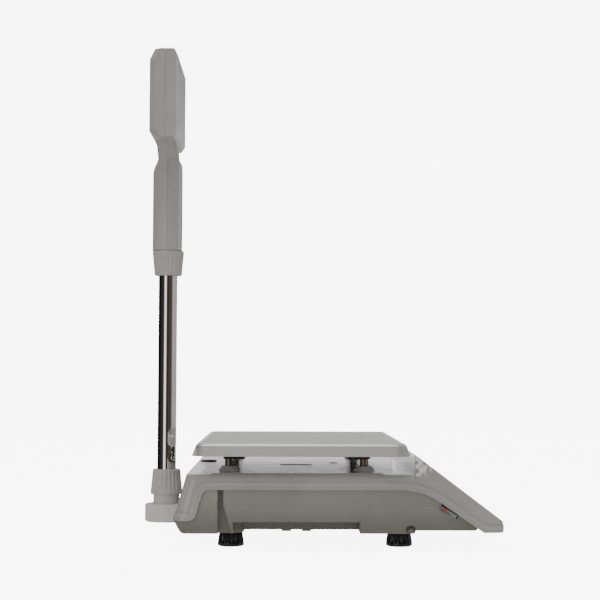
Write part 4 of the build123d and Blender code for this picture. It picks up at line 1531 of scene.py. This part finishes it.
@dataclass
class PoleAndHead(Assembly):
    """Bracket, chrome tube, the two collars and the customer display head."""

    finishes: Finishes = (
        (BRACKET_SHELL, ("pole_bracket",)),
        (COLLAR_SHELL, ("lower_collar", "upper_collar")),
        (TUBE_CHROME, ("pole_tube",)),
        (HEAD_SHELL, ("head_customer_shell",)),
        (HEAD_LIT_SIDE, ("head_operator_shell",)),
        (HEAD_CLEAR, ("head_window",)),
        (DISPLAY_DARK, ("head_display",)),
        (BOLT_ZINC, ("head_screws",)),
    )
    pole_x: float = -0.1696
    lower_seat: float = 0.0452
    upper_seat: float = 0.3252
    face_x: float = -0.1845
    rows: tuple[tuple[str, float], ...] = (("12.34", 0.5150), ("5.678", 0.4975), ("1.250", 0.4800))
    digit_height: float = 0.0128

    def numerals(self) -> None:
        """Lights three rows of numerals on the customer's display."""
        plane = Plane((self.face_x, 0.0, 0.0), (0, -1, 0), (0, 0, 1))
        numbers = [(number, 0.036, height) for number, height in self.rows]
        digits = SegmentDigits(self.digit_height)
        wear = Wear(SEGMENT_INK, "head", "display_glass")
        printed_numbers("head_numerals", numbers, digits, plane, wear)

    def add(self) -> None:
        """Adds the fluted collars and the numerals."""
        collar = Collar()
        collar.stand("lower_collar", (self.pole_x, 0, self.lower_seat), False, "lower_collar")
        collar.stand("upper_collar", (self.pole_x, 0, self.upper_seat), True, "upper_collar")
        self.numerals()


@dataclass
class Console(Assembly):
    """Operator's side: window, display, key panel and keys."""

    finishes: Finishes = (
        (WINDOW_CLEAR, ("display_window",)),
        (DISPLAY_DARK, ("operator_display",)),
        (PANEL_SHELL, ("key_panel",)),
        (KEY_SHELL, tuple(f"key_{number:02d}" for number in range(1, 17))),
        (ROCKER_GREY, ("switch_body", "switch_rocker")),
    )
    top_edge: Place = (0.1015, 0.0, 0.1004)
    down: Place = (0.798621, 0.0, -0.601835)
    first_down: float = 0.0415
    pitch_down: float = 0.0176
    columns: tuple[float, ...] = (0.042, 0.063, 0.084, 0.112)
    signs: tuple[str, ...] = tuple("789+456-123*0.=C")
    sign_size: float = 0.0085
    switch_place: Place = (0.1372, -0.1635, 0.041)
    switch_tilt: float = 31.6
    # Black strip above the rocker, painted shade of the gap: its spans right, up and out.
    gap_shade_spans: tuple[Span, ...] = (
        (-0.0111, 0.0104), (0.0011, 0.0024), (-0.0002, 0.0009)
    )
    mark_spans: tuple[Span, ...] = (
        (-0.0076, -0.0026), (-0.0014, 0.0014), (-0.0035, -0.0031)
    )
    display_drop: float = 0.003
    display_row: float = 0.0115
    display_digits: float = 0.0095
    groups: tuple[tuple[str, float], ...] = (("1.250", -0.040), ("5.678", 0.030), ("12.34", 0.100))

    def plane(self, drop: float = 0.0) -> Plane:
        """Works out the console slope, or a plane below it, as the operator reads it.

        Args:
            drop: How far below the slope the plane lies, in metres.

        Returns:
            The plane.
        """
        up = tuple(-value for value in self.down)
        out = np.cross((0, 1, 0), up)
        origin = tuple(float(v) for v in np.array(self.top_edge) - out * drop)
        return Plane(origin, (0, 1, 0), up)

    def legends(self) -> None:
        """Prints a plain number or sign on each key; each one moves with its key."""
        for index, sign in enumerate(self.signs):
            row, column = divmod(index, len(self.columns))
            spot = (self.columns[column], -(self.first_down + row * self.pitch_down))
            name = f"key_{index + 1:02d}"
            wear = Wear(LEGEND_INK, name, "key_plastic")
            printed_text(f"{name}_sign", sign, self.sign_size, self.plane(), spot, wear)

    def switch_gap_shade_and_mark(self) -> None:
        """Adds a black strip, painted shade of the gap above the rocker, and the red mark on it."""
        lean = radians(self.switch_tilt)
        along = (cos(lean), 0.0, -sin(lean))
        across = (sin(lean), 0.0, cos(lean))
        face = Plane(self.switch_place, along, across)
        for name, spans, wear in (
            ("switch_gap_shade", self.gap_shade_spans, Wear(SHADE_BLACK, "base", "switch_black")),
            ("rocker_mark", self.mark_spans, Wear(RED_MARK, "rocker", "switch_black")),
        ):
            (left, right), (low, high), (near, deep) = spans
            outline = np.array([[[left, low], [right, low], [right, high], [left, high]]])
            points, faces = thin_plates(outline, deep - near)
            points[:, 2] += near
            mesh_piece(name, face.place(points), faces, wear, smooth=False)

    def numerals(self) -> None:
        """Lights three groups of numerals on the operator's display."""
        numbers = [(number, end, -self.display_row) for number, end in self.groups]
        digits, plane = SegmentDigits(self.display_digits), self.plane(self.display_drop)
        wear = Wear(SEGMENT_INK, "base", "display_glass")
        printed_numbers("operator_numerals", numbers, digits, plane, wear)

    def add(self) -> None:
        """Adds the signs, the numerals, the painted shade above the rocker and the red mark."""
        self.legends()
        self.numerals()
        self.switch_gap_shade_and_mark()


@dataclass
class Feet(Assembly):
    """Four adjustable feet: ribbed knobs on plated stems."""

    finishes: Finishes = (
        (BOLT_ZINC, tuple(f"foot_stem_{number}" for number in range(1, 5))),
    )
    rear_x: float = -0.0913
    front_x: float = 0.089
    side_y: float = 0.112
    wide: float = 0.0142
    neck: float = 0.0128
    height: float = 0.014
    bore: float = 0.00406
    bore_floor: float = 0.0047
    edge_round: float = 0.0005
    flank_low: float = 0.0034
    flank_end: float = 0.0012
    ribs: int = 20
    rib_depth: float = 0.0008
    flank_rows: int = 9
    steps: int = 400

    def knob(self) -> Surface:
        """Draws a knob that stands at the origin.

        Its radius falls in a straight line from the foot to the neck, and the
        grooves between the ribs reach full depth a fifth of the way up.

        Returns:
            The points and the faces.
        """
        share = np.linspace(0, 1, self.flank_rows)
        low, high = self.flank_low, self.height - self.flank_end
        flank = np.column_stack(
            (self.wide - (self.wide - self.neck) * share, low + (high - low) * share)
        )
        foot = [
            (0.0, 0.0),
            (self.wide - self.edge_round * 3.2, 0.0),
            (self.wide - self.edge_round, self.edge_round),
            (self.wide, self.edge_round * 2.8),
        ]
        end = [
            (self.neck - self.flank_end / 3, self.height - self.flank_end / 3),
            (self.neck - self.flank_end, self.height),
            (self.bore, self.height),
            (self.bore, self.bore_floor),
            (0.0, self.bore_floor),
        ]
        outline = np.vstack((foot, flank, end))
        press = np.clip(share * 5, 0, 1) * self.rib_depth
        depth = np.concatenate((np.zeros(len(foot)), press, [self.rib_depth * 0.7], np.zeros(4)))
        return turned_surface(outline, self.steps, depth, self.ribs, False)

    def add(self) -> None:
        """Adds a ribbed knob in place of each plain one."""
        places = [(x, y) for x in (self.rear_x, self.front_x) for y in (-self.side_y, self.side_y)]
        points, faces = self.knob()
        for number, (x, y) in enumerate(places, start=1):
            wear = Wear(KNOB_BLACK, f"foot_{number}_knob", "foot_plastic")
            place = np.array([x, y, 0])
            knob = mesh_piece(f"foot_knob_{number}_ribbed", points + place, faces, wear)
            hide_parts(f"foot_knob_{number}")


def main() -> None:
    """Sets the stage and builds every sub-assembly in order."""
    Stage().build()
    for assembly in (Housing(), Platform(), PoleAndHead(), Console(), Feet()):
        assembly.build()
        log.info("built %s", type(assembly).__name__)


if __name__ == "__main__":
    main()
